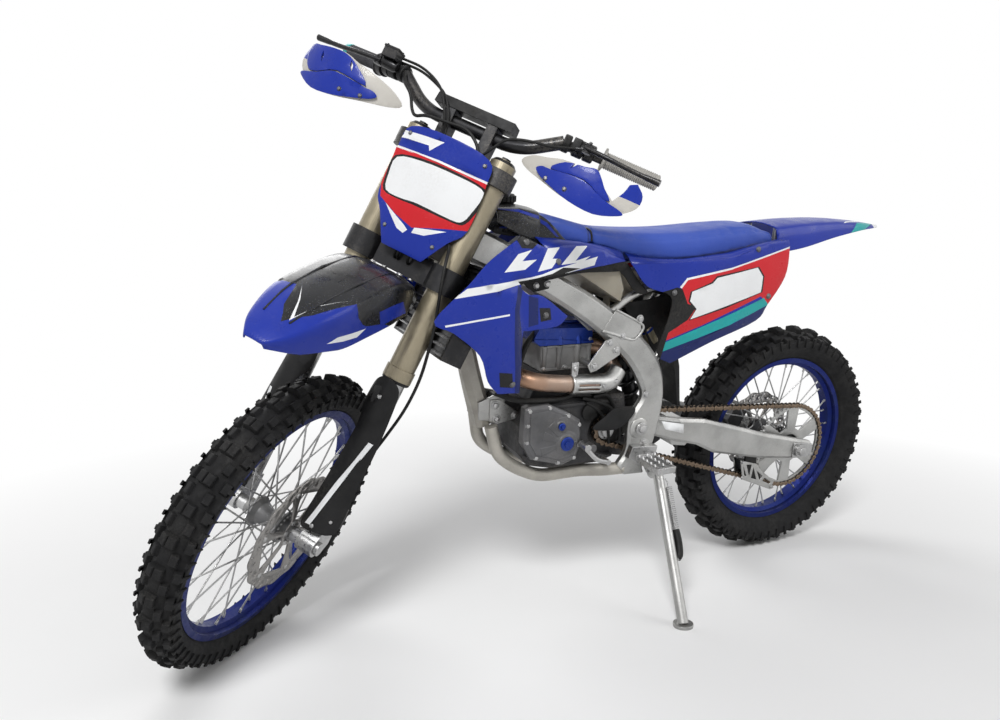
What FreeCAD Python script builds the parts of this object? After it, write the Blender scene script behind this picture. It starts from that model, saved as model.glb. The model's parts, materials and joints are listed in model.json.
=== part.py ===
import FreeCAD, Part
import Sketcher
import math
import os
import re

# Dirt bike, millimetres and degrees. The upright bike has X forward, Y to its left and Z up,
# with its origin under the rear axle. The steered pieces have a frame of their own on the
# steering axis, with X forward, Y left and Z up the axis, level with the front axle.

V = FreeCAD.Vector
ORIGIN = V(0, 0, 0)
FORWARD = V(1, 0, 0)
LEFT = V(0, 1, 0)
UP = V(0, 0, 1)

SIZES = {
    "wheelbase": 1485,
    "rake_angle": 27,
    "fork_offset": 52,
    "lean_angle": 7.5,
    "steer_lock": 45,
    "fit_gap": 0.3,
    "front_tyre_radius": 348,
    "front_tyre_half_width": 46,
    "front_bead_radius": 267,
    "front_rim_half_width": 25,
    "rear_tyre_radius": 340,
    "rear_tyre_half_width": 60,
    "rear_bead_radius": 241,
    "rear_rim_half_width": 31,
    "rim_flange_height": 9,
    "rim_well_depth": 11,
    "rim_wall": 4,
    "spoke_radius": 1.9,
    "front_hub_radius": 24,
    "front_flange_radius": 36,
    "front_hub_half_width": 60,
    "rear_hub_radius": 30,
    "rear_flange_radius": 42,
    "rear_hub_half_width": 66,
    "flange_thickness": 5,
    "front_disc_radius": 135,
    "rear_disc_radius": 122,
    "disc_thickness": 3.5,
    "front_disc_place": 57,
    "rear_disc_place": 62,
    "axle_radius": 10,
    "fork_spacing": 105,
    "fork_tube_forward": 24,
    "fork_tube_radius": 29.5,
    "slider_radius": 24,
    "fork_tube_bottom": 395,
    "fork_top": 905,
    "lower_clamp_bottom": 600,
    "lower_clamp_height": 55,
    "upper_clamp_bottom": 850,
    "upper_clamp_height": 38,
    "clamp_wall": 11,
    "stem_radius": 15,
    "head_tube_radius": 34,
    "lug_half_width": 21,
    "bar_radius": 14.3,
    "bar_height": 946,
    "bar_end_radius": 11.1,
    "bar_half_length": 400,
    "bar_rise": 70,
    "bar_sweep": 75,
    "grip_radius": 17,
    "grip_length": 128,
    "pivot_forward": 567,
    "pivot_up": 472,
    "pivot_radius": 8.5,
    "frame_outer_half": 112,
    "beam_thickness": 33,
    "pivot_plate_thickness": 27,
    "rail_radius": 16,
    "rail_up": 357,
    "rail_spacing": 62,
    "chain_place": 74,
    "chain_pitch": 15.875,
    "chain_half_width": 8,
    "chain_half_height": 7.5,
    "rear_teeth": 48,
    "front_teeth": 13,
    "drive_forward": 645,
    "drive_up": 462,
    "sprocket_thickness": 7,
    "sprocket_seat_radius": 48,
    "arm_inner": 90,
    "arm_outer": 116,
    "panel_wall": 3,
    "peg_length": 90,
    "stand_leg_radius": 13,
    "header_radius": 21,
    "cylinder_half_width": 58,
    "crankcase_half_width": 84,
}

document = FreeCAD.newDocument("DirtBike")
sheet = document.addObject("Spreadsheet::Sheet", "Sizes")
for row, (alias, value) in enumerate(SIZES.items(), 1):
    sheet.set(f"A{row}", alias)
    sheet.set(f"B{row}", str(value))
    sheet.setAlias(f"B{row}", alias)
document.recompute()


def size(alias):
    """The number in a cell of the sheet."""
    return float(sheet.get(alias))


def bound(formula):
    """A formula with the sheet's name before each alias, as an expression needs it."""
    return re.sub(r"[a-z]+(_[a-z]+)+", lambda found: "Sizes." + found.group(0), formula)


# Frames of the bike, of its steering and of its wheels

RAKE = math.radians(size("rake_angle"))
AXIS_UP = V(-math.sin(RAKE), 0, math.cos(RAKE))
AXIS_FORWARD = V(math.cos(RAKE), 0, math.sin(RAKE))
FRONT_AXLE = V(size("wheelbase"), 0, size("front_tyre_radius"))
REAR_AXLE = V(0, 0, size("rear_tyre_radius"))
PIVOT = V(size("pivot_forward"), 0, size("pivot_up"))
STEER_BASE = FRONT_AXLE - AXIS_FORWARD * size("fork_offset")
CROWN_SHARE = 0.62
TREAD_ARC = math.radians(52)
MIDDLE_BLOCK = 0.42
BLOCK_DRAFT = 0.04


def steering_in_bike(turn):
    """The steering's frame in the upright bike, turned to the left by an angle in degrees."""
    raked = FreeCAD.Placement(STEER_BASE, FreeCAD.Rotation(LEFT, -size("rake_angle")))
    return raked * FreeCAD.Placement(ORIGIN, FreeCAD.Rotation(UP, turn))


def tread_radius(tip, wide, across):
    """Radius of the tread's top at a place across: an arc, then a straight slope to the shoulder."""
    crown = CROWN_SHARE * wide
    reach = crown * math.sin(TREAD_ARC)
    if abs(across) <= reach:
        return tip - crown + math.sqrt(crown * crown - across * across)
    top = tip - crown + crown * math.cos(TREAD_ARC)
    return top + (tip - 26 - top) * (abs(across) - reach) / (wide - reach)


def lowest_point(wheel_place, radius, half_width):
    """Height of the lowest corner of a tyre's tread when a block is at the bottom."""
    tip = size(radius)
    wide = size(half_width)
    across = (MIDDLE_BLOCK - BLOCK_DRAFT) * wide
    side = wheel_place.Rotation.multVec(LEFT).z
    upright = math.sqrt(1 - side * side)
    corners = [(tip, 0), (tread_radius(tip, wide, across), across), (tread_radius(tip, wide, across), -across)]
    return wheel_place.Base.z + min(place * side - out * upright for out, place in corners)


def leaning_bike():
    """Placement of the upright bike when it leans to the left with both tyres on the floor."""
    in_bike = steering_in_bike(size("steer_lock"))
    front = in_bike * FreeCAD.Placement(V(size("fork_offset"), 0, 0), FreeCAD.Rotation())
    rear = FreeCAD.Placement(REAR_AXLE, FreeCAD.Rotation())
    lean = FreeCAD.Rotation(FORWARD, -size("lean_angle"))
    pitch = 0.0
    for _ in range(20):
        turn = FreeCAD.Placement(ORIGIN, FreeCAD.Rotation(LEFT, pitch) * lean)
        front_low = lowest_point(turn * front, "front_tyre_radius", "front_tyre_half_width")
        rear_low = lowest_point(turn * rear, "rear_tyre_radius", "rear_tyre_half_width")
        pitch += math.degrees((front_low - rear_low) / size("wheelbase"))
    return FreeCAD.Placement(V(0, 0, -rear_low), turn.Rotation)


BIKE = leaning_bike()
STEERING = BIKE * steering_in_bike(size("steer_lock"))
FRONT_WHEEL = STEERING * FreeCAD.Placement(V(size("fork_offset"), 0, 0), FreeCAD.Rotation())
REAR_WHEEL = BIKE * FreeCAD.Placement(REAR_AXLE, FreeCAD.Rotation())

nodes = []


def node(label, shape, place):
    """A sub-part whose solid is worked out with Part's functions."""
    piece = document.addObject("Part::Feature", label)
    piece.Label = label
    piece.Shape = shape
    piece.Placement = place
    nodes.append(piece)
    return piece


def upright(label):
    """A finished sub-part's shape in the frame that it was modelled in."""
    piece = [piece for piece in nodes if piece.Label == label][0]
    shape = piece.Shape.copy()
    shape.Placement = FreeCAD.Placement()
    return shape


def keep(body, place):
    """Counts a finished body as a sub-part and puts it in its place."""
    body.Placement = place
    nodes.append(body)
    return body


# Sketched bodies, whose corners and radii are bound to the sheet

def new_body(label):
    body = document.addObject("PartDesign::Body", label)
    body.Label = label
    return body


def new_sketch(body, role):
    sketch = body.newObject("Sketcher::SketchObject", body.Name + "_sketch")
    plane = [item for item in body.Origin.OriginFeatures if item.Role == role][0]
    sketch.AttachmentSupport = [(plane, "")]
    sketch.MapMode = "FlatFace"
    return sketch


def bind(sketch, constraint, formula):
    index = sketch.addConstraint(constraint)
    sketch.setExpression(f"Constraints[{index}]", bound(formula))


def draw_outline(sketch, corners):
    """A closed outline whose corners are pairs of formulas."""
    count = len(corners)
    first = sketch.GeometryCount
    start = []
    for index in range(count):
        angle = 2 * math.pi * index / count
        start.append(V(300 + 100 * math.cos(angle), 300 + 100 * math.sin(angle), 0))
    for index in range(count):
        sketch.addGeometry(Part.LineSegment(start[index], start[(index + 1) % count]), False)
    for index in range(count):
        following = first + (index + 1) % count
        sketch.addConstraint(Sketcher.Constraint("Coincident", first + index, 2, following, 1))
    for index, (across, along) in enumerate(corners):
        corner = first + index
        bind(sketch, Sketcher.Constraint("DistanceX", -1, 1, corner, 1, start[index].x), across)
        bind(sketch, Sketcher.Constraint("DistanceY", -1, 1, corner, 1, start[index].y), along)


def draw_circle(sketch, across, along, radius):
    """A circle whose centre and radius are formulas."""
    index = sketch.addGeometry(Part.Circle(V(300, 300, 0), UP, 10), False)
    bind(sketch, Sketcher.Constraint("DistanceX", -1, 1, index, 3, 300), across)
    bind(sketch, Sketcher.Constraint("DistanceY", -1, 1, index, 3, 300), along)
    bind(sketch, Sketcher.Constraint("Radius", index, 10), radius)


def revolve(body, role, corners, groove=False):
    """A revolution about the sketch's upright axis, corners given as radius and place along it."""
    sketch = new_sketch(body, role)
    draw_outline(sketch, corners)
    kind = "PartDesign::Groove" if groove else "PartDesign::Revolution"
    feature = body.newObject(kind, body.Name + "_turned")
    feature.Profile = sketch
    feature.ReferenceAxis = (sketch, ["V_Axis"])
    feature.Angle = 360
    document.recompute()
    return feature


def pad(body, sketch, length):
    """A pad of the sketch to both sides of its plane."""
    feature = body.newObject("PartDesign::Pad", body.Name + "_pad")
    feature.Profile = sketch
    feature.Midplane = True
    feature.setExpression("Length", bound(length))
    document.recompute()
    return feature


def pocket(body, sketch):
    """A cut of the sketch through the whole body."""
    before = body.Shape.Volume
    feature = body.newObject("PartDesign::Pocket", body.Name + "_pocket")
    feature.Profile = sketch
    feature.Type = "ThroughAll"
    feature.Midplane = True
    document.recompute()
    if body.Shape.Volume >= before:
        raise ValueError(body.Label + ": a pocket cuts nothing")
    return feature


def around(body, feature, sketch, count):
    """Copies of a feature around the sketch's normal."""
    pattern = body.newObject("PartDesign::PolarPattern", body.Name + "_round")
    pattern.Originals = [feature]
    pattern.Axis = (sketch, ["N_Axis"])
    pattern.Angle = 360
    pattern.Occurrences = count
    body.Tip = pattern
    document.recompute()
    return pattern


# Solids from Part's functions

def outline_wire(points):
    return Part.makePolygon(list(points) + [points[0]])


def side_plate(outline, right, left):
    """A plate cut to an outline of X and Z, between two places across the bike."""
    face = Part.Face(outline_wire([V(x, right, z) for x, z in outline]))
    return face.extrude(V(0, left - right, 0))


def rod(start, end, radius):
    return Part.makeCylinder(radius, (end - start).Length, start, end - start)


def route_wire(points, share=0.45):
    """Straight runs joined by tangent arcs, each as large as its two runs allow."""
    edges = []
    here = points[0]
    for before, corner, after in zip(points, points[1:], points[2:]):
        run_in = (corner - before).normalize()
        run_out = (after - corner).normalize()
        reach = share * min((corner - before).Length, (after - corner).Length)
        arc_start = corner - run_in * reach
        arc_end = corner + run_out * reach
        half_turn = run_in.getAngle(run_out) / 2
        radius = reach / math.tan(half_turn)
        inward = (run_out - run_in).normalize()
        middle = corner + inward * (radius / math.cos(half_turn) - radius)
        edges.append(Part.LineSegment(here, arc_start).toShape())
        edges.append(Part.Arc(arc_start, middle, arc_end).toShape())
        here = arc_end
    edges.append(Part.LineSegment(here, points[-1]).toShape())
    return Part.Wire(edges)


def pipe(points, radius, share=0.45):
    """A round bar along a route."""
    path = route_wire(points, share)
    circle = Part.Wire(Part.Circle(points[0], points[1] - points[0], radius).toShape())
    return path.makePipeShell([circle], True, False)


def bar_section(centre, along, up_size, side_size, chamfer=0.28):
    """An eight-sided section square to a direction in the bike's middle plane."""
    up = V(-along.z, 0, along.x).normalize()
    half_up = up_size / 2
    half_side = side_size / 2
    cut = chamfer * min(up_size, side_size)
    corners = [(half_side, half_up - cut), (half_side - cut, half_up),
               (cut - half_side, half_up), (-half_side, half_up - cut),
               (-half_side, cut - half_up), (cut - half_side, -half_up),
               (half_side - cut, -half_up), (half_side, cut - half_up)]
    return outline_wire([centre + LEFT * side + up * rise for side, rise in corners])


def spar(stations, ruled=False):
    """A lofted bar through stations of centre, height and thickness."""
    centres = [station[0] for station in stations]
    wires = []
    for index, (centre, high, thick) in enumerate(stations):
        before = centres[max(index - 1, 0)]
        after = centres[min(index + 1, len(centres) - 1)]
        along = V(after.x - before.x, 0, after.z - before.z)
        wires.append(bar_section(centre, along, high, thick))
    return Part.makeLoft(wires, True, ruled)


def mirrored(shape):
    return shape.mirror(ORIGIN, LEFT)


def pair(shape):
    """The left piece and its mirror image on the right."""
    return Part.Compound([shape, mirrored(shape)])


def skin(outline, height, wall, grid=9, facing="side"):
    """A curved panel of even wall, cut to an outline and bulged by a height function.

    A side panel's outline is in X and Z and its height is Y. A front panel's outline is in
    Y and Z and its height is X.
    """
    margin = 12
    low_u = min(point[0] for point in outline) - margin
    high_u = max(point[0] for point in outline) + margin
    low_v = min(point[1] for point in outline) - margin
    high_v = max(point[1] for point in outline) + margin

    def place(u, v, rise):
        return V(u, rise, v) if facing == "side" else V(rise, u, v)

    rows = []
    rises = []
    for i in range(grid):
        u = low_u + (high_u - low_u) * i / (grid - 1)
        row_points = []
        for j in range(grid):
            v = low_v + (high_v - low_v) * j / (grid - 1)
            rise = height(u, v)
            rises.append(rise)
            row_points.append(place(u, v, rise))
        rows.append(row_points)
    surface = Part.BSplineSurface()
    surface.interpolate(rows)
    inward = place(0, 0, -wall)
    sheet_solid = surface.toShape().extrude(inward)
    low = min(rises) - 2 * wall
    high = max(rises) + 2 * wall
    face = Part.Face(outline_wire([place(u, v, low) for u, v in outline]))
    return face.extrude(place(0, 0, high - low)).common(sheet_solid)


def shell_section(crown, down, half_width, drop, wall, square=0.9):
    """An open-bottomed section of a mudguard: an outer curve, an inner one and two edges."""
    def curve(shrink):
        width = half_width - shrink
        points = []
        for share, fall in ((-1, 1), (-square, 0.35), (-0.55, 0.06), (0, 0),
                            (0.55, 0.06), (square, 0.35), (1, 1)):
            depth = fall * drop
            lower = shrink if abs(share) < 1 else 0
            points.append(crown + LEFT * (share * width) + down * (depth + lower))
        spline = Part.BSplineCurve()
        spline.interpolate(points)
        return spline, points
    outer, outer_points = curve(0)
    inner, inner_points = curve(wall)
    inner.reverse()
    return Part.Wire([outer.toShape(),
                      Part.LineSegment(outer_points[-1], inner_points[-1]).toShape(),
                      inner.toShape(),
                      Part.LineSegment(inner_points[0], outer_points[0]).toShape()])


def on_axis(forward, left, up):
    """A point given in the steering's frame, with the wheel straight ahead, in the bike."""
    return STEER_BASE + AXIS_FORWARD * forward + LEFT * left + AXIS_UP * up


# Wheels

def tyre(label, radius, half_width, bead, rim_half, pitches, depth, place):
    """A ring of flat facets whose sections carry a middle block and two side blocks by turns."""
    tip = size(radius)
    wide = size(half_width)
    low = size(bead) + size("fit_gap")
    seat = size(rim_half) - size("rim_wall") - size("fit_gap")
    edge = [(low, seat), (low + size("rim_flange_height") + 1, seat), (tip - 26 - depth, wide - 2)]
    foot = (tread_radius(tip, wide, MIDDLE_BLOCK * wide) - depth, MIDDLE_BLOCK * wide)
    tops = [(tread_radius(tip, wide, share * wide), share * wide)
            for share in (0.93, MIDDLE_BLOCK + BLOCK_DRAFT, MIDDLE_BLOCK - BLOCK_DRAFT)]
    side_block = [edge[2], tops[0], tops[1], foot]
    middle_block = [foot, tops[2], (tip, 0), (tops[2][0], -tops[2][1]), (foot[0], -foot[1])]

    def whole(half):
        return half + [(out, -across) for out, across in reversed(half) if across]

    sections = (whole(edge + middle_block[:3]), whole(edge[:2] + side_block))
    down = place.inverse().Rotation.multVec(UP * -1)
    half_step = math.pi / pitches / 2
    reach = 1 / math.cos(half_step)

    def ring_points(section, index):
        turn = math.atan2(down.z, down.x) + half_step * (2 * index - 1)
        return [V(out * reach * math.cos(turn), across, out * reach * math.sin(turn))
                for out, across in section]

    faces = []
    for index in range(pitches * 2):
        section = sections[index % 2]
        near = ring_points(section, index)
        far = ring_points(section, index + 1)
        for start in range(len(section)):
            end = (start + 1) % len(section)
            faces.append(Part.Face(outline_wire([near[start], far[start], far[end], near[end]])))
        even = index % 2 == 0
        other_side = [(out, -across) for out, across in side_block]
        for ended, outward in ((middle_block, even), (side_block, not even), (other_side, even)):
            corners = ring_points(ended, index)
            faces.append(Part.Face(outline_wire(corners if outward else corners[::-1])))
    node(label, Part.Solid(Part.Shell(faces)), place)


def rim(label, bead, half, place):
    body = new_body(label)
    flange = f"{bead} + rim_flange_height"
    revolve(body, "XY_Plane", [
        (flange, half), (flange, f"{half} - rim_wall"), (bead, f"{half} - rim_wall"),
        (bead, f"{half} * 0.5"), (f"{bead} - rim_well_depth", f"{half} * 0.3"),
        (f"{bead} - rim_well_depth", f"-{half} * 0.3"), (bead, f"-{half} * 0.5"),
        (bead, f"rim_wall - {half}"), (flange, f"rim_wall - {half}"), (flange, f"-{half}"),
        (f"{bead} - rim_wall", f"-{half}"), (f"{bead} - rim_wall", f"-{half} * 0.55"),
        (f"{bead} - rim_well_depth - rim_wall", f"-{half} * 0.35"),
        (f"{bead} - rim_well_depth - rim_wall", f"{half} * 0.35"),
        (f"{bead} - rim_wall", f"{half} * 0.55"), (f"{bead} - rim_wall", half)])
    keep(body, place)


SPOKE_PLANE = 33


def hub(label, barrel, flange, half_width, place, carrier=None):
    """A hub with its two spoke flanges, and a carrier for a sprocket on its left."""
    body = new_body(label)
    bore = "axle_radius + fit_gap"
    neck = f"{barrel} * 0.8"
    flange_out = f"{SPOKE_PLANE} + flange_thickness"
    left_end = [(bore, half_width), (neck, half_width)]
    if carrier:
        seat = "chain_place - sprocket_thickness / 2 - fit_gap"
        left_end += [(neck, seat), (carrier, seat), (carrier, f"{seat} - 7"), (neck, f"{seat} - 9")]
    revolve(body, "XY_Plane", left_end + [
        (neck, flange_out), (flange, flange_out), (flange, f"{SPOKE_PLANE}"),
        (barrel, f"{SPOKE_PLANE - 8}"), (neck, "0"), (barrel, f"-{SPOKE_PLANE - 8}"),
        (flange, f"-{SPOKE_PLANE}"), (flange, f"-({flange_out})"), (neck, f"-({flange_out})"),
        (neck, f"-{half_width}"), (bore, f"-{half_width}")])
    keep(body, place)


SPOKE_COUNT = 36
SPOKE_CROSS = 52


def spokes(label, flange, bead, place):
    """Crossed spokes from both hub flanges to the rim's well."""
    inner = size(flange) + 1
    outer = size(bead) - size("rim_well_depth") - size("rim_wall") - 1
    rods = []
    for index in range(SPOKE_COUNT):
        side = 1 if index % 2 else -1
        lean = SPOKE_CROSS if index // 2 % 2 else -SPOKE_CROSS
        rim_angle = math.radians(360 * (index + 0.5) / SPOKE_COUNT)
        hub_angle = rim_angle + math.radians(lean)
        hub_place = side * (SPOKE_PLANE + size("flange_thickness") / 2)
        start = V(inner * math.cos(hub_angle), hub_place, inner * math.sin(hub_angle))
        end = V(outer * math.cos(rim_angle), side * 5, outer * math.sin(rim_angle))
        rods.append(rod(start, end, size("spoke_radius")))
    node(label, Part.Compound(rods), place)


DISC_ARMS = 6
DISC_WAVES = 14
DISC_WAVE_DEPTH = 5


def disc(label, radius, place_across, band, hub_radius, side, place):
    """A wavy brake disc with its carrier: a band with windows cut between the arms."""
    body = new_body(label)
    sketch = new_sketch(body, "XZ_Plane")
    corners = []
    for index in range(DISC_WAVES * 4):
        angle = 2 * math.pi * index / (DISC_WAVES * 4)
        dip = DISC_WAVE_DEPTH * (0, 0.5, 1, 0.5)[index % 4]
        corners.append((f"({radius} - {dip}) * {math.cos(angle):.5f}",
                        f"({radius} - {dip}) * {math.sin(angle):.5f}"))
    draw_outline(sketch, corners)
    draw_circle(sketch, "0", "0", hub_radius)
    pad(body, sketch, "disc_thickness")
    window = new_sketch(body, "XZ_Plane")
    inside = f"({radius} - {band})"
    near = f"({hub_radius} + 12)"
    draw_outline(window, [(near, f"-{near} * 0.3"), (f"{inside} * 0.9", f"-{inside} * 0.4"),
                          (inside, "0"), (f"{inside} * 0.9", f"{inside} * 0.4"),
                          (near, f"{near} * 0.3")])
    cut = pocket(body, window)
    around(body, cut, window, DISC_ARMS)
    offset = FreeCAD.Placement(V(0, side * size(place_across), 0), FreeCAD.Rotation())
    keep(body, place * offset)


ROLLER_SEAT = -5.0
TOOTH_TIP = 4.0


def sprocket_radius(teeth):
    return size("chain_pitch") / (2 * math.sin(math.pi / size(teeth)))


def sprocket_solid(teeth, bore, centre):
    """A toothed plate about the Y axis, its gaps at the chain's rollers."""
    pitch_radius = sprocket_radius(teeth)
    count = int(size(teeth))
    step = 2 * math.pi / count
    half = LEFT * (size("sprocket_thickness") / 2)
    points = []
    for index in range(count):
        for share, out in ((-0.17, ROLLER_SEAT), (0.17, ROLLER_SEAT), (0.42, TOOTH_TIP), (0.58, TOOTH_TIP)):
            angle = step * (index + share)
            radius = pitch_radius + out
            points.append(centre - half + V(radius * math.cos(angle), 0, radius * math.sin(angle)))
    plate = Part.Face(outline_wire(points)).extrude(half * 2)
    return plate.cut(rod(centre - half * 2, centre + half * 2, bore))


def rear_sprocket(place):
    centre = V(0, size("chain_place"), 0)
    plate = sprocket_solid("rear_teeth", size("rear_flange_radius") * 0.8, centre)
    pitch_radius = sprocket_radius("rear_teeth")
    near = size("sprocket_seat_radius") + 4
    for index in range(DISC_ARMS):
        window = side_plate([(near, -12), (pitch_radius - 16, -38), (pitch_radius - 12, 0),
                             (pitch_radius - 16, 38), (near, 12)], centre.y - 20, centre.y + 20)
        window.rotate(ORIGIN, LEFT, 360 / DISC_ARMS * index)
        plate = plate.cut(window)
    node("rear_sprocket", plate, place)


def front_wheel():
    tyre("front_tyre", "front_tyre_radius", "front_tyre_half_width", "front_bead_radius",
         "front_rim_half_width", 31, 11, FRONT_WHEEL)
    rim("front_rim", "front_bead_radius", "front_rim_half_width", FRONT_WHEEL)
    hub("front_hub", "front_hub_radius", "front_flange_radius", "front_hub_half_width", FRONT_WHEEL)
    spokes("front_spokes", "front_flange_radius", "front_bead_radius", FRONT_WHEEL)
    disc("front_disc", "front_disc_radius", "front_disc_place", "27",
         "(front_hub_radius * 0.8 + fit_gap)", 1, FRONT_WHEEL)


def rear_wheel():
    tyre("rear_tyre", "rear_tyre_radius", "rear_tyre_half_width", "rear_bead_radius",
         "rear_rim_half_width", 30, 13, REAR_WHEEL)
    rim("rear_rim", "rear_bead_radius", "rear_rim_half_width", REAR_WHEEL)
    hub("rear_hub", "rear_hub_radius", "rear_flange_radius", "rear_hub_half_width", REAR_WHEEL,
        "sprocket_seat_radius")
    spokes("rear_spokes", "rear_flange_radius", "rear_bead_radius", REAR_WHEEL)
    disc("rear_disc", "rear_disc_radius", "rear_disc_place", "27",
         "(rear_hub_radius * 0.8 + fit_gap)", -1, REAR_WHEEL)
    rear_sprocket(REAR_WHEEL)


# Fork, clamps and what is on them

def fork_tubes():
    radius = size("fork_tube_radius")
    bottom = size("fork_tube_bottom")
    foot = V(size("fork_tube_forward"), size("fork_spacing"), 0)
    tube_solid = rod(foot + UP * bottom, foot + UP * size("fork_top"), radius)
    wiper = rod(foot + UP * bottom, foot + UP * (bottom + 26), radius + 3)
    cap = rod(foot + UP * size("fork_top"), foot + UP * (size("fork_top") + 8), radius - 9)
    node("fork_tubes", pair(tube_solid.fuse([wiper, cap]).removeSplitter()), STEERING)


def fork_sliders():
    foot = V(size("fork_tube_forward"), size("fork_spacing"), 0)
    half = size("lug_half_width")
    axle = V(size("fork_offset"), size("fork_spacing"), 0)
    slider = rod(foot + UP * 20, foot + UP * (size("fork_tube_bottom") - size("fit_gap")),
                 size("slider_radius"))
    clamp = rod(axle - LEFT * half, axle + LEFT * half, 22)
    block = side_plate([(size("fork_tube_forward") - 22, 60), (size("fork_tube_forward") - 22, 2),
                        (size("fork_tube_forward") - 4, -18), (size("fork_offset") + 4, -20),
                        (size("fork_offset") + 20, 6), (size("fork_tube_forward") + 22, 60)],
                       axle.y - half, axle.y + half)
    bore = rod(axle - LEFT * 60, axle + LEFT * 60, size("axle_radius") + size("fit_gap"))
    node("fork_sliders", pair(slider.fuse([clamp, block]).cut(bore).removeSplitter()), STEERING)


def front_axle():
    axle = V(size("fork_offset"), 0, 0)
    lug = size("fork_spacing") + size("lug_half_width")
    inner_lug = size("fork_spacing") - size("lug_half_width")
    shaft = rod(axle - LEFT * (lug + 6), axle + LEFT * (lug + 6), size("axle_radius"))
    parts = []
    for side in (-1, 1):
        start = axle + LEFT * (side * (size("front_hub_half_width") + size("fit_gap")))
        end = axle + LEFT * (side * (inner_lug - size("fit_gap")))
        parts.append(rod(start, end, size("axle_radius") + 6))
        outside = axle + LEFT * (side * (lug + size("fit_gap")))
        parts.append(rod(outside, outside + LEFT * (side * 8), size("axle_radius") + 5))
    node("front_axle", shaft.fuse(parts).removeSplitter(), STEERING)


WEB_DIP = 6
LOWER_WEB_FRONT = 12


def clamp_ring(bottom, height):
    """One of a clamp's two rings about a fork tube."""
    foot = V(size("fork_tube_forward"), size("fork_spacing"), bottom)
    return rod(foot, foot + UP * height, size("fork_tube_radius") + size("clamp_wall"))


def clamp_solid(bottom, height, web_back, web_front):
    """A fork clamp: two rings, a web between them and the bores."""
    spacing = size("fork_spacing")
    forward = size("fork_tube_forward")
    ring = clamp_ring(bottom, height)
    web_points = [V(forward - web_back, -spacing, bottom), V(-web_back, -40, bottom),
                  V(-web_back, 40, bottom), V(forward - web_back, spacing, bottom),
                  V(forward + web_front, spacing, bottom), V(forward + web_front - WEB_DIP, 0, bottom),
                  V(forward + web_front, -spacing, bottom)]
    web = Part.Face(outline_wire(web_points)).extrude(UP * height)
    bore_radius = size("fork_tube_radius") + size("fit_gap")
    foot = V(forward, spacing, bottom - 5)
    bore = rod(foot, foot + UP * (height + 10), bore_radius)
    return ring.fuse([mirrored(ring), web]).cut([bore, mirrored(bore)])


def lower_clamp():
    bottom = size("lower_clamp_bottom")
    body = clamp_solid(bottom, size("lower_clamp_height"), 30, LOWER_WEB_FRONT)
    stem = rod(UP * bottom, UP * (size("upper_clamp_bottom") - size("fit_gap")), size("stem_radius"))
    node("lower_clamp", body.fuse(stem).removeSplitter(), STEERING)


def upper_clamp():
    bottom = size("upper_clamp_bottom")
    height = size("upper_clamp_height")
    body = clamp_solid(bottom, height, 30, 10)
    nut = rod(UP * (bottom + height), UP * (bottom + height + 12), size("stem_radius") + 3)
    mounts = []
    for side in (-1, 1):
        low = side * 52 - 12
        block = side_plate([(size("fork_tube_forward") - 20, bottom + height),
                            (size("fork_tube_forward") + 20, bottom + height),
                            (size("fork_tube_forward") + 22, size("bar_height") + 22),
                            (size("fork_tube_forward") - 22, size("bar_height") + 22)],
                           low, low + 24)
        mounts.append(block)
    centre = V(size("fork_tube_forward"), 0, size("bar_height"))
    bore = rod(centre - LEFT * 100, centre + LEFT * 100, size("bar_radius") + size("fit_gap"))
    node("upper_clamp", body.fuse([nut] + mounts).cut(bore).removeSplitter(), STEERING)


def bar_points():
    """Half of the handlebar's route, from its middle to its left end."""
    forward = size("fork_tube_forward")
    up = size("bar_height")
    rise = size("bar_rise")
    half = size("bar_half_length")
    sweep = size("bar_sweep")
    return [V(forward, 0, up), V(forward, 118, up), V(forward - 0.1 * sweep, 200, up + 0.78 * rise),
            V(forward - sweep, half, up + rise)]


def grip_start():
    """The place and direction of the left grip's inner end."""
    points = bar_points()
    along = (points[-1] - points[-2]).normalize()
    return points[-1] - along * (size("grip_length") - 4), along


def handlebar():
    points = bar_points()
    right = [V(point.x, -point.y, point.z) for point in points[:0:-1]]
    whole = pipe(right + points[1:], size("bar_end_radius"))
    middle = pipe(right[1:] + points[1:-1], size("bar_radius"))
    node("handlebar", whole.fuse(middle).removeSplitter(), STEERING)


def grips():
    start, along = grip_start()
    length = size("grip_length")
    bore = size("bar_end_radius") + size("fit_gap")
    body = rod(start, start + along * length, size("grip_radius"))
    flange = rod(start, start + along * 6, size("grip_radius") + 8)
    hole = rod(start - along * 5, start + along * (length - 3), bore)
    node("grips", pair(body.fuse(flange).cut(hole).removeSplitter()), STEERING)


def bar_pad():
    forward = size("fork_tube_forward")
    up = size("bar_height")
    low = up + 22 + size("fit_gap")
    body = side_plate([(forward - 24, low), (forward + 24, low), (forward + 20, up + 44),
                       (forward - 20, up + 44)], -95, 95)
    node("bar_pad", body, STEERING)


CABLE_RADIUS = 3.0


def clutch_cable_stub():
    """Start and end of the cable's seat on the clutch perch."""
    start, along = grip_start()
    perch = start - along * 30
    return perch + V(30, 0, -3), perch + V(32, -22, -10)


def throttle_cable_stub(cable):
    """Start and end of one of the two cable seats on the throttle housing, as on the left."""
    start, along = grip_start()
    begin = start - along * 11 + V(10 - 4 * cable, 0, 12 + 4 * cable)
    return begin, begin + V(14, -8, 6 + 3 * cable)


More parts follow.
